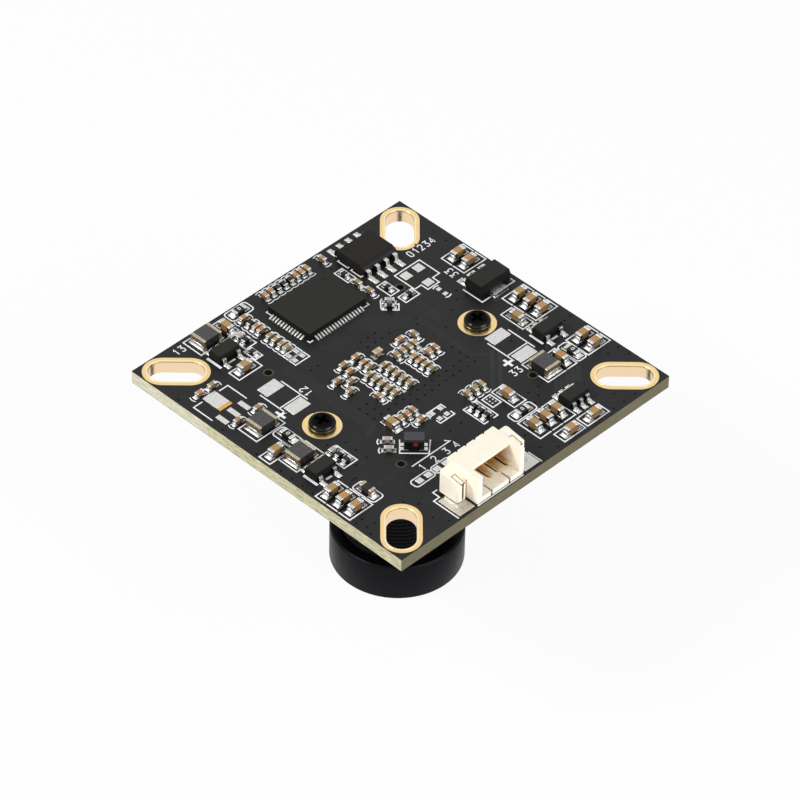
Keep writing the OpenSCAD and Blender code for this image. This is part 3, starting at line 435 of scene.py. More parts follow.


# painted highlight: the crests of the thread are made lighter, most of all on the left, where they are
# also metallic
def shadeThread():
    setup = crestSetup
    tree = threadBlack.node_tree
    crest = addMath(tree, "POWER", uprightMask(threadBlack), setup["sharp"])
    layTone(threadBlack, crest, setup["tone"])
    left = zoneMask(threadBlack, Vector(setup["litPlace"]) * mm, Vector(setup["litHalf"]) * mm,
        soft=setup["litSoft"])
    crestHighlightMask = addMath(tree, "MULTIPLY", crest, left)
    layTone(threadBlack, crestHighlightMask, setup["crestHighlight"])
    feed(skinOf(threadBlack)["Metallic"], crestHighlightMask)


shadeThread()
# the sides of moulded and sintered bodies get a darker painted shade than their tops, and the
# terminals' upright faces a browner painted shade
for bodyFinish, sideShadeShare, sideShadeTone in ((ferriteGrey, 0.85, (0.01, 0.009, 0.009)), (packageBlack, 0.85,
        (0.0035, 0.0033, 0.0032)), (resistorGlaze, 0.8, (0.004, 0.004, 0.004)),
        (brownCeramic, 0.5, (0.1, 0.055, 0.025)), (mediumCeramic, 0.45, (0.1, 0.06, 0.025)),
        (tanCeramic, 0.5, (0.09, 0.06, 0.028)), (solderTin, 0.35, (0.12, 0.12, 0.12)),
        (terminalTan, 1.0, (0.36, 0.29, 0.16))):
    layTone(bodyFinish, uprightMask(bodyFinish), sideShadeTone, sideShadeShare)
# the rounded rims of the screw heads are worn smooth and shine
screwRim = addMath(screwBlack.node_tree, "MULTIPLY", uprightMask(screwBlack), 1.3, clamp=True)
feed(skinOf(screwBlack)["Coat Weight"], screwRim)
print("finishes are mixed")


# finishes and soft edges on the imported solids: the finish, the edge in mm and the nodes
nodeFinishes = (
    (laminate, 0.0, "circuit_board"),
    (maskBlack, 0.0, "solder_mask_top solder_mask_bottom"),
    (goldPlate, 0.0, "slot_plating screw_lands"),
    (padTin, 0.02, "solder_pads"),
    (brownCeramic, 0.03, "small_capacitors_brown"),
    (tanCeramic, 0.03, "small_capacitors_tan"),
    (mediumCeramic, 0.05, "medium_capacitors"),
    (coilCeramic, 0.05, "chip_coil"),
    (beadGrey, 0.04, "small_beads"),
    (resistorGlaze, 0.02, "small_resistors"),
    (resistorGlaze, 0.03, "link_resistors"),
    (resistorGlaze, 0.05, "ferrite_bead"),
    (terminalTan, 0.07, "ferrite_bead_ends"),
    (terminalTan, 0.08, "inductor_terminals"),
    (solderTin, 0.02, "choke_electrodes"),
    (solderTin, 0.04, "small_resistor_ends"),
    (solderTin, 0.05, "small_capacitor_ends small_bead_ends link_resistor_ends"),
    (solderTin, 0.07, "medium_capacitor_ends"),
    (packageBlack, 0.06, "flash_memory"),
    (packageBlack, 0.05, "image_processor linear_regulator converter_1 converter_2 converter_3 "
                         "power_switch"),
    (leadTin, 0.015, "image_processor_leads"),
    (leadTin, 0.03, "flash_memory_leads linear_regulator_leads"),
    (leadTin, 0.02, "converter_1_leads converter_2_leads converter_3_leads power_switch_leads"),
    (ferriteGrey, 0.08, "power_inductor_1 power_inductor_2 power_inductor_3 power_inductor_4"),
    (chokeWire, 0.05, "choke_core"),
    (chokeWire, 0.08, "choke_winding"),
    (chokeFerrite, 0.05, "choke_plate"),
    (connectorCream, 0.07, "connector_housing"),
    (contactTan, 0.03, "connector_contacts"),
    (nailTin, 0.03, "connector_solder_nails"),
    (screwBlack, 0.12, "mounting_screw_left mounting_screw_right"),
    (holderBlack, 0.25, "lens_holder"),
    (holderBlack, 0.0, "lens_spacers"),
    (sensorCeramic, 0.05, "sensor_package"),
    (siliconGreen, 0.0, "sensor_die"),
    (lensBlack, 0.025, "lens_barrel"),
    (lensBlack, 0.05, "front_retaining_ring"),
    (lensGlass, 0.0, "sensor_cover_glass front_lens second_lens middle_lens rear_lens"),
    (filterGlass, 0.0, "infrared_filter"),
)
edgeSetup = {"segments": 2, "angle": 35, "weld": 0.002}


def dressNode(name, finish, edge):
    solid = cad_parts[name]
    solid.data.materials.clear()
    solid.data.materials.append(finish)
    weld = solid.modifiers.new("weld", "WELD")
    weld.merge_threshold = edgeSetup["weld"] * mm
    if edge:
        soft = solid.modifiers.new("softEdge", "BEVEL")
        soft.width = edge * mm
        soft.segments = edgeSetup["segments"]
        soft.limit_method = "ANGLE"
        soft.angle_limit = math.radians(edgeSetup["angle"])
        soft.harden_normals = True


dressed = [(name, finish, edge) for finish, edge, names in nodeFinishes for name in names.split()]
for nodeName, nodeFinish, nodeEdge in dressed:
    dressNode(nodeName, nodeFinish, nodeEdge)
print("solids are dressed:", len(dressed))


# helpers for the pieces made here
def boxMiddle(name):
    low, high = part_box(name)
    return (Vector(low) + Vector(high)) / 2


# the separate solids of a node, each as its set of corners
def solidsOf(name):
    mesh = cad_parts[name].data
    keys = [tuple(round(c / mm, 3) for c in v.co) for v in mesh.vertices]
    owner = {key: key for key in keys}

    def root(key):
        while owner[key] != key:
            owner[key] = owner[owner[key]]
            key = owner[key]
        return key

    for face in mesh.polygons:
        first = root(keys[face.vertices[0]])
        for i in face.vertices[1:]:
            owner[root(keys[i])] = first
    groups = {}
    for key in sorted(owner):
        groups.setdefault(root(key), []).append(Vector(key) * mm)
    return [groups[key] for key in sorted(groups)]


def middleOf(corners):
    low, high = (Vector([pick(c[i] for c in corners) for i in range(3)]) for pick in (min, max))
    return (low + high) / 2


def reachOf(corners, start, way):
    return max((c - start).dot(way) for c in corners)


# a level direction turned a quarter to the left
def leftOf(way):
    return Vector((-way.y, way.x, 0))


def levelWay(degrees):
    return Vector((math.cos(math.radians(degrees)), math.sin(math.radians(degrees)), 0))


def addPiece(name, bm, finish, body="board", smooth=False):
    mesh = bpy.data.meshes.new(name)
    bmesh.ops.recalc_face_normals(bm, faces=bm.faces)
    bm.normal_update()
    bm.to_mesh(mesh)
    bm.free()
    for face in mesh.polygons:
        face.use_smooth = smooth
    mesh.materials.append(finish)
    piece = addObject(name, mesh)
    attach(piece, body)


# joins rings of equal length into a solid, or into a closed loop
def loftRings(bm, rings, closed=False):
    loops = [[bm.verts.new(p) for p in ring] for ring in rings]
    count = len(loops[0])
    for first, second in list(zip(loops, loops[1:])) + ([(loops[-1], loops[0])] if closed else []):
        for i in range(count):
            j = (i + 1) % count
            bm.faces.new((first[i], first[j], second[j], second[i]))
    if not closed:
        bm.faces.new(list(reversed(loops[0])))
        bm.faces.new(loops[-1])


def discRing(middle, radius, sides):
    return [middle + levelWay(360 * i / sides) * radius * mm for i in range(sides)]


# solder at the chips' ends and the leads' toes
solderSetup = {"steps": 5, "across": 5, "curve": 2.3, "rest": 0.012, "crown": 0.28, "tip": 0.86,
    "inset": 0.97, "sink": 0.02, "chipWidth": 0.96, "chipRise": 0.72, "inductorRise": 0.5,
    "spill": 0.03, "leadRise": 0.85, "leadSink": 0.01, "leadReach": 0.95, "leadSpill": 0.04,
    "toeDeep": 0.02, "padBack": 0.2, "least": 0.05}


# a hollow-faced wedge of solder from an end face at "start" outwards along "way"
def addFillet(bm, start, way, reach, width, footWidth, rise):
    side = leftOf(way)
    steps, across = solderSetup["steps"], solderSetup["across"]
    rings = []
    for i in range(steps + 1):
        t = i / steps
        height = rise * (1 - t) ** solderSetup["curve"] + solderSetup["rest"] * mm
        half = (width + (footWidth - width) * min(1.0, 2 * t)) / 2
        if i == steps:
            half *= solderSetup["tip"]
        foot = start + way * (reach * t)
        ring = [foot - side * half, foot + side * half]
        for j in range(across):
            v = 1 - 2 * j / (across - 1)
            top = height * (1 - solderSetup["crown"] * v ** 4)
            ring.append(foot + side * (half * v * solderSetup["inset"]) + Vector((0, 0, top)))
        rings.append(ring)
    loftRings(bm, rings)


def nearestPad(pads, place):
    return min(pads, key=lambda pad: (pad[0].xy - place.xy).length)[1]


def addChipSolder(bm, bodyNodes, endNode, pads, rise):
    ends = [(middleOf(c), c) for c in solidsOf(endNode)]
    for body in (solid for node in bodyNodes for solid in solidsOf(node)):
        centre = middleOf(body)
        for middle, corners in sorted(ends, key=lambda end: (end[0].xy - centre.xy).length)[:2]:
            way = Vector((*(middle.xy - centre.xy).normalized(), 0))
            face = Vector((*middle.xy, padTop)) + way * reachOf(corners, middle, way)
            width = 2 * reachOf(corners, middle, leftOf(way))
            tall = max(c.z for c in corners) - padTop
            reach = reachOf(nearestPad(pads, middle), face, way)
            addFillet(bm, face - way * solderSetup["sink"] * mm, way, reach * solderSetup["inset"],
                width * solderSetup["chipWidth"], width + solderSetup["spill"] * mm, tall * rise)


def addLeadSolder(bm, packageNode, leadNode, pads):
    centre = boxMiddle(packageNode)
    room = Vector(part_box(packageNode)[1]) - centre
    for corners in solidsOf(leadNode):
        middle = middleOf(corners)
        away = middle - centre
        if abs(away.x) - room.x > abs(away.y) - room.y:
            way = Vector((math.copysign(1, away.x), 0, 0))
        else:
            way = Vector((0, math.copysign(1, away.y), 0))
        side = leftOf(way)
        face = Vector((*middle.xy, padTop)) + way * reachOf(corners, middle, way)
        toe = [c for c in corners if (c - face).dot(way) > -solderSetup["toeDeep"] * mm]
        tall = max(c.z for c in toe) - padTop
        width = 2 * max(abs((c - face).dot(side)) for c in toe)
        reach = reachOf(nearestPad(pads, face - way * solderSetup["padBack"] * mm), face, way)
        if reach > solderSetup["least"] * mm:
            addFillet(bm, face - way * solderSetup["leadSink"] * mm, way,
                reach * solderSetup["leadReach"], width, width + solderSetup["leadSpill"] * mm,
                tall * solderSetup["leadRise"])


def makeSolder():
    pads = [(middleOf(c), c) for c in solidsOf("solder_pads")]
    chips = bmesh.new()
    for bodies, ends in (("small_capacitors_brown small_capacitors_tan", "small_capacitor_ends"),
            ("small_beads chip_coil", "small_bead_ends"), ("small_resistors", "small_resistor_ends"),
            ("medium_capacitors", "medium_capacitor_ends"), ("link_resistors", "link_resistor_ends"),
            ("ferrite_bead", "ferrite_bead_ends")):
        addChipSolder(chips, bodies.split(), ends, pads, solderSetup["chipRise"])
    inductors = [f"power_inductor_{i}" for i in range(1, 5)]
    addChipSolder(chips, inductors, "inductor_terminals", pads, solderSetup["inductorRise"])
    addPiece("chipSolder", chips, solderTin, smooth=True)
    leads = bmesh.new()
    for package in ("flash_memory", "linear_regulator", "converter_1", "converter_2", "converter_3",
            "power_switch"):
        addLeadSolder(leads, package, package + "_leads", pads)
    addPiece("leadSolder", leads, solderTin, smooth=True)


makeSolder()
print("solder is laid")


# places where a finish changes along a solid; lengths in mm
# in the socket, the inner, side, slot and crack tones are painted shade, and the glows are painted
# light
socketSetup = {"earWidth": 1.5, "wall": 0.6, "over": 1.2, "deep": 5.0, "shadeFrom": 1.7,
    "shadeWide": 1.35, "shadeSoft": 1.1, "inner": (0.74, 0.53, 0.24), "sideShadeFrom": 0.9, "sideShadeSoft": 2.0,
    "sideShadeShare": 0.9, "side": (0.6, 0.36, 0.11), "slack": 0.02, "backWall": 0.88, "roof": 0.1,
    "slotSpan": 1.25, "slotMiddle": 0.5, "slotHalf": (0.3, 1.5), "slotSink": 0.06,
    "slotShade": (0.05, 0.04, 0.03), "crackFront": 1.5, "crackBack": 1.74, "crackHigh": 2.3,
    "crackHalf": 0.05, "crackSoft": 0.03, "crackShade": (0.26, 0.13, 0.04), "sideTurn": 0.8, "litTurn": -0.6,
    "frontGlow": (0.22, 0.19, 0.16), "insideGlow": 0.4}
chokeSetup = {"turn": 45, "deep": 3.0, "window": 0.16, "windowHalf": 0.27, "windowLow": 0.45,
    "windowHigh": 1.0, "windowSoft": 0.05, "tone": (0.2, 0.028, 0.014), "heartHalf": 0.11,
    "heartSoft": 0.08, "heart": (0.34, 0.13, 0.08)}
tabStripSetup = {"place": (-15.95, 8.72), "half": (0.9, 0.24, 1.0), "tone": (0.68, 0.41, 0.12)}
nailSetup = {"padRoom": (1.2, 1.4, 1.0), "pad": (0.58, 0.565, 0.53), "bend": 0.5, "wide": 10.0,
    "outline": (0.2, 0.115, 0.05), "fromEdge": 0.7, "stripMiddle": 1.98, "stripHalf": (0.215, 0.645),
    "strip": (0.92, 0.84, 0.7)}
memorySetup = {"soft": 0.05, "topRoom": 0.1, "topShare": 0.6, "top": (0.0165, 0.014, 0.013),
    "stripBack": 0.15, "stripHalf": 0.3, "stripSoft": 0.01, "strip": (0.012, 0.011, 0.011), "rise": 0.3,
    "inset": 0.2, "deep": 0.16, "share": 0.75, "paintedSheen": (0.04, 0.043, 0.052)}
coilEndSetup = {"rise": 0.3, "half": (0.8, 0.45, 0.45), "soft": 0.1, "share": 0.6,
    "tone": (0.5, 0.39, 0.27)}


# 1 where the surface faces along X
def sideFaces(material):
    tree = material.node_tree
    along = addMath(tree, "ABSOLUTE", normalOf(material)["X"])
    return addMath(tree, "GREATER_THAN", along, socketSetup["sideTurn"])


# 1 where the surface faces the left or the front edge, where painted light glows
def paintedGlowFaces(material):
    tree = material.node_tree
    normal = normalOf(material)
    both = addMath(tree, "ADD", normal["X"], normal["Y"])
    return addMath(tree, "LESS_THAN", both, socketSetup["litTurn"])


# a zone of the socket's housing, in mm
def socketZone(place, half, soft=0.02):
    return zoneMask(connectorCream, Vector(place) * mm, Vector(half) * mm, soft)


def shadeSocket():
    setup = socketSetup
    tree, skin = connectorCream.node_tree, skinOf(connectorCream)
    low, high = (Vector(c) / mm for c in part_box("connector_housing"))
    centre, room = (low + high) / 2, (high - low) / 2
    bodyHalf = room.x - setup["earWidth"]
    mouthHalf = bodyHalf - setup["wall"]
    deep, tall = setup["deep"], room.z + setup["over"]
    # painted shade: the inside darkens towards its back and its right wall
    inside = socketZone((centre.x, low.y, centre.z), (mouthHalf + setup["slack"],
        2 * room.y - setup["backWall"], room.z - setup["roof"]))
    back = socketZone((centre.x, low.y + setup["shadeFrom"] + deep, centre.z),
        (mouthHalf + setup["shadeWide"], deep, tall), setup["shadeSoft"])
    right = socketZone((centre.x + mouthHalf, low.y + setup["sideShadeFrom"] + deep, centre.z),
        (setup["sideShadeSoft"], deep, tall), setup["sideShadeSoft"])
    back, right = (addMath(tree, "MULTIPLY", mask, inside) for mask in (back, right))
    layTone(connectorCream, back, setup["inner"])
    layTone(connectorCream, right, setup["side"], setup["sideShadeShare"])
    # painted shade on the side faces of the floor slots
    for side in (-1, 1):
        slot = socketZone((centre.x + side * setup["slotSpan"], low.y + setup["slotMiddle"], low.z),
            (*setup["slotHalf"], setup["wall"] - setup["slotSink"]))
        layTone(connectorCream, addMath(tree, "MULTIPLY", slot, sideFaces(connectorCream)),
            setup["slotShade"])
    # painted light: the faces towards the left and the front glow, the inside less, except where the
    # painted shade lies
    lit = addMath(tree, "MAXIMUM", paintedGlowFaces(connectorCream), addMath(tree, "MULTIPLY", inside,
        setup["insideGlow"]))
    bright = addMath(tree, "SUBTRACT", 1.0, addMath(tree, "MAXIMUM", back, right), clamp=True)
    glow = mixTones(tree, addMath(tree, "MULTIPLY", lit, bright), (0, 0, 0), setup["frontGlow"])
    feed(skin["Emission Color"], glow)
    feed(skin["Emission Strength"], 1.0)
    # painted shade in the narrow gap between each ear and the body's wall
    crackMiddle = (setup["crackFront"] + setup["crackBack"]) / 2
    crackLong = (setup["crackBack"] - setup["crackFront"]) / 2
    for side in (-1, 1):
        crackShade = socketZone((centre.x + side * bodyHalf, low.y + crackMiddle, low.z),
            (setup["crackHalf"], crackLong, setup["crackHigh"]), setup["crackSoft"])
        layTone(connectorCream, crackShade, setup["crackShade"])


def shadeChoke():
    setup = chokeSetup
    deep, heart = setup["deep"], setup["heartHalf"]
    tall = (setup["windowHigh"] - setup["windowLow"]) / 2
    place = Vector((*boxMiddle("choke_winding").xy, padTop + (setup["windowLow"] + tall) * mm))
    place += levelWay(-setup["turn"]) * setup["window"] * mm
    layZone(chokeWire, place, Vector((setup["windowHalf"], deep, tall)) * mm, setup["tone"],
        setup["windowSoft"], setup["turn"])
    layZone(chokeWire, place, Vector((heart, deep, heart)) * mm, setup["heart"], setup["heartSoft"],
        setup["turn"])


# the browner front strip of one large pad, and the socket's nails with the pads under them
def shadeTabPad():
    layZone(padTin, onBoard(*tabStripSetup["place"]), Vector(tabStripSetup["half"]) * mm,
        tabStripSetup["tone"])
    setup = nailSetup
    low, high = (Vector(c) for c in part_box("connector_solder_nails"))
    middle = (low + high) / 2
    layZone(padTin, middle, (high - low) / 2 + Vector(setup["padRoom"]) * mm, setup["pad"])
    tall = (high.z - low.z) / mm - setup["bend"]
    layZone(nailTin, Vector((*middle.xy, high.z)), Vector((setup["wide"], setup["wide"], tall)) * mm,
        setup["outline"])
    housingLow, housingHigh = (Vector(c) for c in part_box("connector_housing"))
    across = (housingHigh.x - housingLow.x) / 2 - setup["fromEdge"] * mm
    for side in (-1, 1):
        strip = Vector((middle.x + side * across, housingLow.y + setup["stripMiddle"] * mm, high.z))
        layZone(nailTin, strip, Vector((*setup["stripHalf"], tall)) * mm, setup["strip"])


# the memory's bevel on the legend side gets a cool painted sheen, a band along its back darkens the
# leads there to near black as painted shade, and the coil's ends are tinned over tan
def shadeMemoryAndCoil():
    setup = memorySetup
    low, high = (Vector(c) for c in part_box("flash_memory"))
    middle, room = (low + high) / 2, (high - low) / 2
    layZone(packageBlack, middle, room + Vector((1, 1, 1)) * setup["topRoom"] * mm, setup["top"],
        setup["soft"], share=setup["topShare"])
    around = setup["stripHalf"] * mm
    layZone(leadTin, Vector((middle.x, high.y + setup["stripBack"] * mm, middle.z)),
        Vector((room.x + around, around, room.z)), setup["strip"], setup["stripSoft"])
    layZone(packageBlack, Vector((middle.x, low.y, middle.z + setup["rise"] * mm)),
        Vector((room.x - setup["inset"] * mm, setup["deep"] * mm, room.z)), setup["paintedSheen"],
        setup["soft"], share=setup["share"])
    setup = coilEndSetup
    layZone(solderTin, boxMiddle("chip_coil") + Vector((0, 0, setup["rise"] * mm)),
        Vector(setup["half"]) * mm, setup["tone"], setup["soft"], share=setup["share"])


shadeMemoryAndCoil()
shadeSocket()
shadeChoke()
shadeTabPad()


# printed legend
legendSetup = {"line": 0.14, "braceLine": 0.115, "thick": 0.02, "sink": 0.005, "cross": 0.001,
    "braceGap": 0.22, "braceHalf": 0.41, "braceBulge": 0.12, "braceSteps": 6, "corner": 0.35,
    "cornerSteps": 3, "digitHigh": 0.85, "digitLine": 0.12, "digitStep": 0.78}

# closed boxes as (left, right, low, high) in layout numbers
legendBoxes = [
    (-12.4, -8.6, 15.85, 18.5), (-17.3, -13.4, 2.8, 5.4), (-17.55, -13.75, -3.1, -0.5),
    (15.55, 18.75, 7.95, 9.55), (15.55, 18.75, 6.3, 7.95), (15.5, 18.65, -0.72, 0.85),
    (15.5, 18.65, -2.3, -0.72), (15.5, 18.65, -3.9, -2.3), (15.5, 18.7, -9.65, -8.1),
    (15.5, 18.7, -11.2, -9.65), (-18.65, -15.5, -8.3, -6.8), (-18.65, -15.5, -9.95, -8.3),
    (-18.65, -15.5, -11.55, -9.95), (-18.65, -15.5, -0.45, 1.05), (-12.25, -9.1, 10.5, 12.0),
    (4.45, 7.4, -18.4, -16.9), (7.75, 10.85, -18.4, -16.9), (3.05, 4.7, -16.4, -13.3),
    (4.7, 6.35, -16.4, -13.3), (6.35, 8.1, -16.4, -13.3), (4.5, 6.15, -11.45, -8.3),
    (13.6, 15.15, -3.9, -0.8), (12.3, 13.8, -11.2, -8.15), (-8.6, -7.05, 16.0, 18.4),
    (6.0, 7.1, 13.5, 15.5), (7.65, 8.85, 9.0, 11.0), (8.05, 10.0, 7.2, 8.35),
    (-8.95, -7.97, 11.6, 13.25), (-13.85, -12.05, -5.95, -3.1),
    (-8.55, -7.1, 13.4, 15.75),
    (3.0, 4.15, -9.95, -8.4), (-6.65, -4.7, 8.2, 9.15), (-6.65, -4.7, 9.2, 10.05),
]
# areas whose chips have no round brackets
legendQuiet = [(0.4, 2.8, -11.2, -8.0)]
legendRoundBoxes = [
    (-6.6, -3.6, 17.25, 18.75), (-15.45, -13.85, -0.2, 2.6), (3.05, 6.2, -13.1, -11.75),
    (14.0, 15.35, -11.2, -8.2), (-15.3, -13.8, -11.45, -8.4), (-10.7, -8.0, -12.9, -11.8),
    (-7.9, -5.4, -12.9, -11.8),
]
legendLines = [
    [(-3.25, 10.0), (-3.25, 9.65), (-2.75, 9.65)], [(4.4, 9.65), (5.15, 9.65), (5.15, 9.95)],
    [(-3.15, 15.25), (-3.15, 16.0), (-2.9, 16.0)],
    [(8.0, 16.6), (7.6, 16.6), (7.6, 15.15), (8.0, 15.15)],
    [(7.95, 14.65), (7.55, 14.65), (7.55, 13.2), (7.95, 13.2)],
    [(13.65, 4.6), (13.65, 1.85), (14.85, 1.85)], [(17.2, 1.85), (18.35, 1.85), (18.35, 2.4)],
    [(10.15, 8.05), (10.15, 10.95), (13.75, 10.95), (13.75, 8.05), (12.75, 8.05), (12.75, 7.1),
     (11.1, 7.1), (11.1, 8.05), (10.15, 8.05)],
    [(-17.1, 10.75), (-18.3, 10.75), (-18.3, 8.05)], [(-14.8, 10.75), (-13.6, 10.75), (-13.6, 8.05)],
    [(-12.3, 7.5), (-12.3, 3.75)], [(-9.35, 7.5), (-9.35, 3.75)], [(-12.3, 4.72), (-9.35, 4.72)],
    [(9.5, -2.9), (9.5, -6.6)], [(12.5, -2.9), (12.5, -6.6)], [(9.5, -5.62), (12.5, -5.62)],
    [(-7.0, -6.8), (-8.4, -8.2), (-6.35, -10.25), (-4.85, -8.95)],
    [(6.7, 9.35), (6.3, 9.15), (5.6, 8.35), (5.5, 8.1), (5.85, 7.75)],
    [(6.25, 7.35), (6.7, 6.9), (7.45, 7.65)], [(6.1, 8.8), (6.25, 8.65)], [(7.05, 7.85), (7.3, 7.6)],
    [(-9.5, -14.45), (-10.1, -14.45), (-10.1, -15.35), (-10.9, -15.35), (-10.9, -18.75)],
    [(0.79, -18.75), (0.79, -16.9)], [(-8.3, -18.82), (-1.9, -18.82)],
    [(-8.9, -10.4), (-3.6, -10.4), (-3.95, -9.95)],
    [(9.65, -8.45), (9.65, -7.55), (12.3, -7.55), (12.3, -11.2), (9.65, -11.2), (9.65, -9.85)],
    [(-2.4, -6.7), (-2.4, -6.02), (-0.4, -6.02), (-0.4, -6.7)],
    [(-2.4, -7.35), (-2.4, -7.95), (-0.4, -7.95), (-0.4, -7.35)], [(-1.45, -7.88), (-1.45, -7.35)],
    [(1.25, -8.15), (0.62, -8.15), (0.62, -11.05), (1.2, -11.05)],
    [(1.9, -11.05), (2.55, -11.05), (2.55, -8.15), (2.0, -8.15)], [(-4.6, 18.0), (-4.6, 18.6)],
]
# bars as two ends and a width
legendBars = [
    (-12.3, 15.1, -12.3, 13.05, 0.3), (-11.2, 13.1, -10.35, 13.1, 0.2),
    (-17.4, -3.9, -17.4, -5.85, 0.3), (-16.25, -5.85, -15.45, -5.85, 0.24),
    (13.45, -5.0, 13.45, -6.85, 0.26), (14.55, -7.0, 15.4, -7.0, 0.24),
    (14.3, -4.35, 16.8, -4.35, 0.13), (8.4, -13.1, 9.35, -13.1, 0.16),
    (10.2, -13.1, 11.25, -13.1, 0.16), (15.5, 5.75, 16.6, 5.75, 0.42),
    (17.1, 5.75, 18.0, 5.75, 0.42),
]
legendTriangles = [
    [(7.95, 17.85), (8.45, 17.7), (7.95, 17.1)], [(14.1, 5.95), (15.0, 5.95), (14.1, 5.0)],
    [(13.8, -4.2), (14.5, -4.3), (13.8, -5.0)], [(8.3, -13.0), (8.9, -13.1), (8.3, -13.8)],
]
legendPluses = [(-12.9, 3.95, 0.66, 0.3), (8.85, -6.4, 0.62, 0.3)]
legendBraces = [(11.9, 5.87, 90, 0.95), (-8.9, -7.2, 135, 0.95), (-8.1, -6.2, 135, 0.95)]
digitShapes = {
    "0": [(0.1, 0), (0.4, 0), (0.5, 0.15), (0.5, 0.85), (0.4, 1), (0.1, 1), (0, 0.85), (0, 0.15),
          (0.1, 0)],
    "1": [(0.1, 0.78), (0.3, 1), (0.3, 0)],
    "2": [(0, 0.8), (0.12, 1), (0.38, 1), (0.5, 0.82), (0.5, 0.62), (0, 0), (0.5, 0)],
    "3": [(0, 1), (0.5, 1), (0.22, 0.6), (0.42, 0.55), (0.5, 0.38), (0.5, 0.15), (0.38, 0), (0.12, 0),
          (0, 0.15)],
    "4": [(0.4, 0), (0.4, 1), (0, 0.32), (0.55, 0.32)],
}
legendNumbers = [("01234", 13.5, 11.8, 0), ("1", -8.45, -11.6, 0), ("2", -6.75, -11.6, 0),
    ("3", -5.1, -11.6, 0), ("4", -3.75, -11.6, 0), ("13", -14.1, 17.5, 0), ("12", -8.2, 4.1, 90),
    ("33", 15.1, 6.6, 90), ("33", 7.9, -8.25, 0)]


def outline(points):
    return [onBoard(x, y) for x, y in points]


ribbonSetup = {"doubled": 0.01, "mitre": 0.45}


# a flat printed line of even width with mitred corners
def addRibbon(bm, points, width, low, high, closed=False):
    rings = []
    for i, point in enumerate(points):
        ways = []
        if closed or i > 0:
            ways.append((point - points[i - 1]).xy.normalized())
        if closed or i < len(points) - 1:
            ways.append((points[(i + 1) % len(points)] - point).xy.normalized())
        both = ways[0] + ways[-1]
        side = leftOf(both.normalized() if both.length > ribbonSetup["doubled"] else ways[-1])
        half = width / 2 / max(ribbonSetup["mitre"], side.dot(leftOf(ways[-1])))
        rings.append([Vector((*(point + side * s * half).xy, z)) for s,
            z in ((1, low), (1, high), (-1, high), (-1, low))])
    loftRings(bm, rings, closed)


def roundCorners(left, right, low, high):
    r = legendSetup["corner"]
    steps = legendSetup["cornerSteps"]
    points = []
    for x, y, start in ((right - r, high - r, 0), (left + r, high - r, 90), (left + r, low + r, 180),
            (right - r, low + r, 270)):
        for i in range(steps + 1):
            turn = math.radians(start + 90 * i / steps)
            points.append((x + r * math.cos(turn), y + r * math.sin(turn)))
    return points


def bracePoints(centre, way, distance):
    side = leftOf(way)
    steps = legendSetup["braceSteps"]
    points = []
    for i in range(steps + 1):
        v = 2 * i / steps - 1
        out = distance + legendSetup["braceBulge"] * mm * (0.5 - v * v)
        points.append(centre + way * out + side * v * legendSetup["braceHalf"] * mm)
    return points


def inLegendBox(place):
    x, y = place.x / layoutX, place.y / layoutY
    return any(left < x < right and low < y < high for left, right, low,
        high in legendBoxes + legendQuiet)


chipBraceSetup = {"reach": 0.75, "bodyLong": 0.56, "slack": 0.01, "slanting": 0.5}


# the round brackets at the ends of the small chips that stand in no box
def chipBraces():
    slack = chipBraceSetup["slack"] * mm
    braces = []
    for node in ("small_capacitors_brown", "small_capacitors_tan", "small_resistors"):
        for corners in solidsOf(node):
            centre = middleOf(corners)
            edges = [b - a for a in corners for b in corners if abs(b.z - a.z) < slack
                and abs((b - a).length - chipBraceSetup["bodyLong"] * mm) < slack]
            if inLegendBox(centre) or not edges:
                continue
            way = Vector((*edges[0].xy.normalized(), 0))
            if abs(abs(way.x) - abs(way.y)) < chipBraceSetup["slanting"]:
                continue
            distance = (chipBraceSetup["reach"] + legendSetup["braceGap"]) * mm
            braces += [bracePoints(centre, way * sign, distance) for sign in (-1, 1)]
    return braces


def makeLegend():
    bm = bmesh.new()
    low, high = (maskTop + lift * mm for lift in (-legendSetup["sink"], legendSetup["thick"]))

    def draw(points, width=legendSetup["line"], closed=False, lift=0.0):
        addRibbon(bm, points, width * mm, low, high + lift * mm, closed)

    for left, right, bottom, top in legendBoxes:
        draw(outline([(left, bottom), (right, bottom), (right, top), (left, top)]), closed=True)
    for box in legendRoundBoxes:
        draw(outline(roundCorners(*box)), closed=True)
    for points in legendLines:
        draw(outline(points))
    for x0, y0, x1, y1, width in legendBars:
        draw(outline([(x0, y0), (x1, y1)]), width)
    for x, y, half, width in legendPluses:
        draw(outline([(x - half, y), (x + half, y)]), width)
        draw(outline([(x, y - half), (x, y + half)]), width, lift=legendSetup["cross"])
    for points in legendTriangles:
        loftRings(bm, [[Vector((*p.xy, z)) for p in outline(points)] for z in (low, high)])
    for x, y, turn, distance in legendBraces:
        way = levelWay(turn)
        for direction in (way, -way) if turn == 90 else (way,):
            draw(bracePoints(onBoard(x, y), direction, distance * mm))
    for points in chipBraces():
        draw(points, legendSetup["braceLine"])
    size = legendSetup["digitHigh"] * mm
    for digits, x, y, turn in legendNumbers:
        spin = Matrix.Rotation(math.radians(turn), 3, "Z")
        for i, digit in enumerate(digits):
            corner = onBoard(x, y) + spin @ Vector((i * legendSetup["digitStep"] * mm, 0, 0))
            draw([corner + spin @ Vector((px * size, py * size, 0)) for px, py in digitShapes[digit]],
                legendSetup["digitLine"])
    addPiece("boardLegend", bm, legendWhite)


makeLegend()
print("legend is printed")


# vias, traces under the mask, marks on the link resistors, lens thread
viaSetup = {"radius": 0.13, "sides": 10, "thick": 0.006, "gridX": 1.02, "gridY": 1.0}
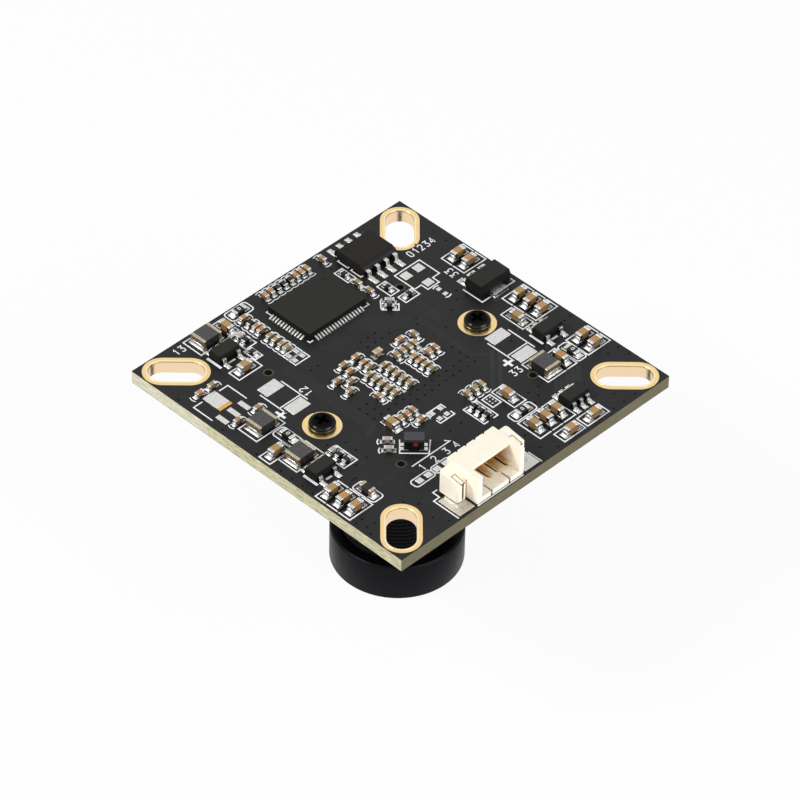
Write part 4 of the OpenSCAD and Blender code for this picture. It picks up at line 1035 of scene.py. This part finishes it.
# grids as (left, low, columns, rows) in layout numbers
viaGrids = [(-6.65, -3.9, 2, 4), (-4.6, -3.9, 12, 2), (0.45, 5.1, 4, 2), (5.5, -0.85, 2, 1),
    (6.5, -1.85, 1, 1)]
viaSpots = [
    (4.35, 7.95), (5.5, 6.85), (6.55, 4.1), (-6.1, 6.6), (-5.1, 6.6), (8.25, 1.75), (10.55, 3.15),
    (-12.65, -2.4), (-11.1, -3.4), (-11.15, -4.85), (-11.15, -6.35), (-12.7, -6.4), (-14.45, -7.7),
    (-14.0, -7.75), (-18.55, 1.5), (-18.5, -1.9), (-18.5, -3.4), (-18.5, -4.9), (-18.55, -6.4),
    (-18.55, -12.3), (-17.7, -12.3), (7.1, -10.85), (8.5, -10.95), (7.55, -11.85), (6.5, -12.35),
    (17.1, -12.4), (18.55, -12.45), (18.6, -13.9), (13.1, -16.95), (13.0, -18.45), (14.6, -18.4),
    (11.5, -18.4), (3.5, -18.4), (11.5, -4.3), (17.6, -5.9), (18.55, -5.8), (13.1, 5.0), (12.1, 4.0),
    (-18.1, -13.4), (-17.2, -13.5), (-18.5, -14.3), (-13.1, -13.4), (-12.2, -14.6), (-12.6, -16.9),
    (-11.8, -18.3), (-18.5, 6.4), (-18.5, 9.0), (-13.3, 9.4), (15.2, 12.9), (17.9, 11.2), (6.3, 16.2),
    (-9.6, -16.0), (2.3, -15.0), (2.1, -17.2), (-10.2, 1.9), (-2.5, -9.4), (-0.9, -9.3), (-18.6, 12.6),
]
traceSetup = {"width": 0.13, "thick": 0.008, "wide": 0.5, "wideThick": 0.0048, "sink": 0.002}
# bundles as a first point, the step to the next line, the number of lines and the run of each
traceBundles = [
    ((1.0, 8.85), (0.4, 0.0), 8, [(0, -0.35), (3.9, -4.25)]),
    ((-2.9, 8.85), (0.4, 0.0), 7, [(0, -0.9), (1.1, -2.0)]),
    ((7.0, 7.1), (0.28, 0.28), 4, [(1.4, -1.4), (1.4, -4.6)]),
    ((-8.15, 8.6), (0.27, 0.0), 5, [(0, -12.0), (-0.9, -12.9)]),
    ((-4.8, -7.3), (0.0, -0.27), 4, [(1.6, 0.0), (2.2, -0.6)]),
    ((-13.2, -9.8), (0.0, -0.3), 2, [(3.0, 0.0), (4.2, -1.2)]),
    ((6.9, 5.2), (0.25, 0.0), 3, [(0, -8.2), (1.2, -9.4)]),
]
powerBundles = [
    ((9.1, -3.9), (0.55, -0.55), 2, [(-4.2, -4.2)]),
    ((10.4, -11.6), (0.8, 0.0), 5, [(-1.7, -1.7)]),
]


def makeVias():
    bm = bmesh.new()
    grids = [(left + column * viaSetup["gridX"], low + row * viaSetup["gridY"]) for left, low, columns,
        rows in viaGrids for column in range(columns) for row in range(rows)]
    for x, y in viaSpots + grids:
        loftRings(bm, [discRing(onBoard(x, y, z), viaSetup["radius"], viaSetup["sides"])
            for z in (-viaSetup["thick"], viaSetup["thick"])])
    addPiece("viaSpots", bm, viaDark)


def makeTraces():
    bm = bmesh.new()
    for bundles, width, thick in ((traceBundles, traceSetup["width"], traceSetup["thick"]),
            (powerBundles, traceSetup["wide"], traceSetup["wideThick"])):
        for (startX, startY), (stepX, stepY), count, run in bundles:
            for i in range(count):
                x, y = startX + i * stepX, startY + i * stepY
                points = outline([(x, y)] + [(x + dx, y + dy) for dx, dy in run])
                addRibbon(bm, points, width * mm, maskTop - traceSetup["sink"] * mm,
                    maskTop + thick * mm)
    addPiece("traceRelief", bm, traceBlack)


zeroSetup = {"wide": 0.22, "high": 0.34, "line": 0.07, "thick": 0.012, "sink": 0.002, "flat": 0.6}


# a nought on each link resistor, drawn across its length
def makeZeroMarks():
    bm = bmesh.new()
    flat = zeroSetup["flat"]
    for corners in solidsOf("link_resistors"):
        middle = middleOf(corners)
        top = max(c.z for c in corners)
        long, deep = (max(c[i] for c in corners) - min(c[i] for c in corners) for i in (0, 1))
        sizes = ("wide", "high") if long > deep else ("high", "wide")
        halfX, halfY = (zeroSetup[key] / 2 * mm for key in sizes)
        points = [Vector((middle.x + halfX * sx, middle.y + halfY * sy, top)) for sx,
            sy in ((-1, -flat), (-flat, -1), (flat, -1), (1, -flat), (1, flat), (flat, 1), (-flat, 1),
            (-1, flat))]
        addRibbon(bm, points, zeroSetup["line"] * mm, top - zeroSetup["sink"] * mm,
            top + zeroSetup["thick"] * mm, closed=True)
    addPiece("resistorZeros", bm, legendWhite)


threadSetup = {"pitch": 0.5, "crest": 0.06, "steps": 72, "clear": 0.15, "sink": 0.02, "shaftFrom": 12,
    "headOver": 0.3, "rootHalf": 0.42, "crestHalf": 0.08, "fade": 12, "least": 0.02}


# a ridge that winds round the barrel's shaft between its head and the holder's tower
def makeThread():
    setup = threadSetup
    bm = bmesh.new()
    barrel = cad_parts["lens_barrel"].data.vertices
    shaft = max(v.co.xy.length for v in barrel if v.co.z > setup["shaftFrom"] * mm)
    headTop = max(v.co.z for v in barrel if v.co.xy.length > shaft + setup["headOver"] * mm)
    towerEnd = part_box("lens_holder")[0][2]
    pitch = setup["pitch"] * mm
    low = headTop + setup["clear"] * mm
    turns = int((towerEnd - setup["clear"] * mm - low - pitch) / pitch)
    count = turns * setup["steps"]
    root = shaft - setup["sink"] * mm
    rings = []
    for i in range(count + 1):
        out = levelWay(360 * i / setup["steps"])
        z = low + pitch * (i / setup["steps"] + 0.5)
        grow = min(1.0, i / setup["fade"], (count - i) / setup["fade"]) + setup["least"]
        crest = shaft + setup["crest"] * mm * grow
        rings.append([out * radius + Vector((0, 0, z + pitch * lift)) for radius,
            lift in ((root, -setup["rootHalf"]), (crest, -setup["crestHalf"]),
            (crest, setup["crestHalf"]), (root, setup["rootHalf"]))])
    loftRings(bm, rings)
    addPiece("barrelThread", bm, threadBlack, body="lens")


rimSetup = {"land": 0.55, "steps": 12, "highlightWidth": 0.13, "highlightOff": 0.1, "thick": 0.012,
    "sink": 0.004, "shadeLow": 0.17, "shadeHigh": 0.05, "shadeWidth": 0.024}


# a painted highlight along the inner edge of each slot's land, and a painted shade line just under it
def makeSlotRims():
    setup = rimSetup
    light, dark = bmesh.new(), bmesh.new()
    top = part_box("slot_plating")[1][2]
    for corners in solidsOf("slot_plating"):
        centre = middleOf(corners)
        way = Vector((math.copysign(1, centre.x), math.copysign(1, centre.y), 0)).normalized()
        side = leftOf(way)
        outer = reachOf(corners, centre, side)
        travel = reachOf(corners, centre, way) - outer
        hole = outer - setup["land"] * mm

        def stadium(radius):
            points = []
            for end in (1, -1):
                for i in range(setup["steps"] + 1):
                    turn = math.pi * (i / setup["steps"] - 0.5)
                    out = way * math.cos(turn) + side * math.sin(turn)
                    points.append(Vector((*centre.xy, top)) + (way * travel + out * radius) * end)
            return points

        addRibbon(light, stadium(hole + setup["highlightOff"] * mm), setup["highlightWidth"] * mm,
            top - setup["sink"] * mm, top + setup["thick"] * mm, closed=True)
        addRibbon(dark, stadium(hole), setup["shadeWidth"] * mm, top - setup["shadeLow"] * mm,
            top - setup["shadeHigh"] * mm, closed=True)
    addPiece("slotRimsHighlight", light, landRimHighlight)
    addPiece("slotRimsDark", dark, landShade)


# painted shadow strips as a place along the socket and a width, and their outline as a depth and a
# share of the width
gapShadowSetup = {"gaps": ((-5.1, 0.28), (-4.0, 0.16), (-2.6, 0.34)), "sink": -0.01, "thick": 0.015,
    "shape": ((1.45, 0.25), (1.65, 0.9), (3.0, 1.0), (3.2, 0.6))}


# painted shadow strips between the blades in the socket's floor
def makeSocketGapShadows():
    sink, thick = gapShadowSetup["sink"], gapShadowSetup["thick"]
    bm = bmesh.new()
    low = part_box("connector_housing")[0]
    floor = low[2] + socketSetup["wall"] * mm
    for x, width in gapShadowSetup["gaps"]:
        place = onBoard(x, 0)
        rings = []
        for y, share in gapShadowSetup["shape"]:
            half = width / 2 * share * mm
            rings.append([Vector((place.x + half * sx, low[1] + y * mm, floor + z * mm)) for sx,
                z in ((-1, sink), (1, sink), (1, thick), (-1, thick))])
        loftRings(bm, rings)
    addPiece("socketGapShadows", bm, gapShadow)


dotSetup = {"columns": (3.4, 3.85), "rows": (-8.7, -9.1, -9.5), "radius": 0.11, "sides": 10,
    "shape": ((-0.005, 1.0), (0.018, 1.0), (0.03, 0.6))}


# six bare dots of a part that isn't fitted
def makeDots():
    bm = bmesh.new()
    for x in dotSetup["columns"]:
        for y in dotSetup["rows"]:
            loftRings(bm, [discRing(onBoard(x, y, lift), dotSetup["radius"] * share,
                dotSetup["sides"]) for lift, share in dotSetup["shape"]])
    addPiece("dotArray", bm, padTin)


makeSlotRims()
makeSocketGapShadows()
makeDots()
makeVias()
makeTraces()
makeZeroMarks()
makeThread()
print("vias, traces, marks and thread are made")
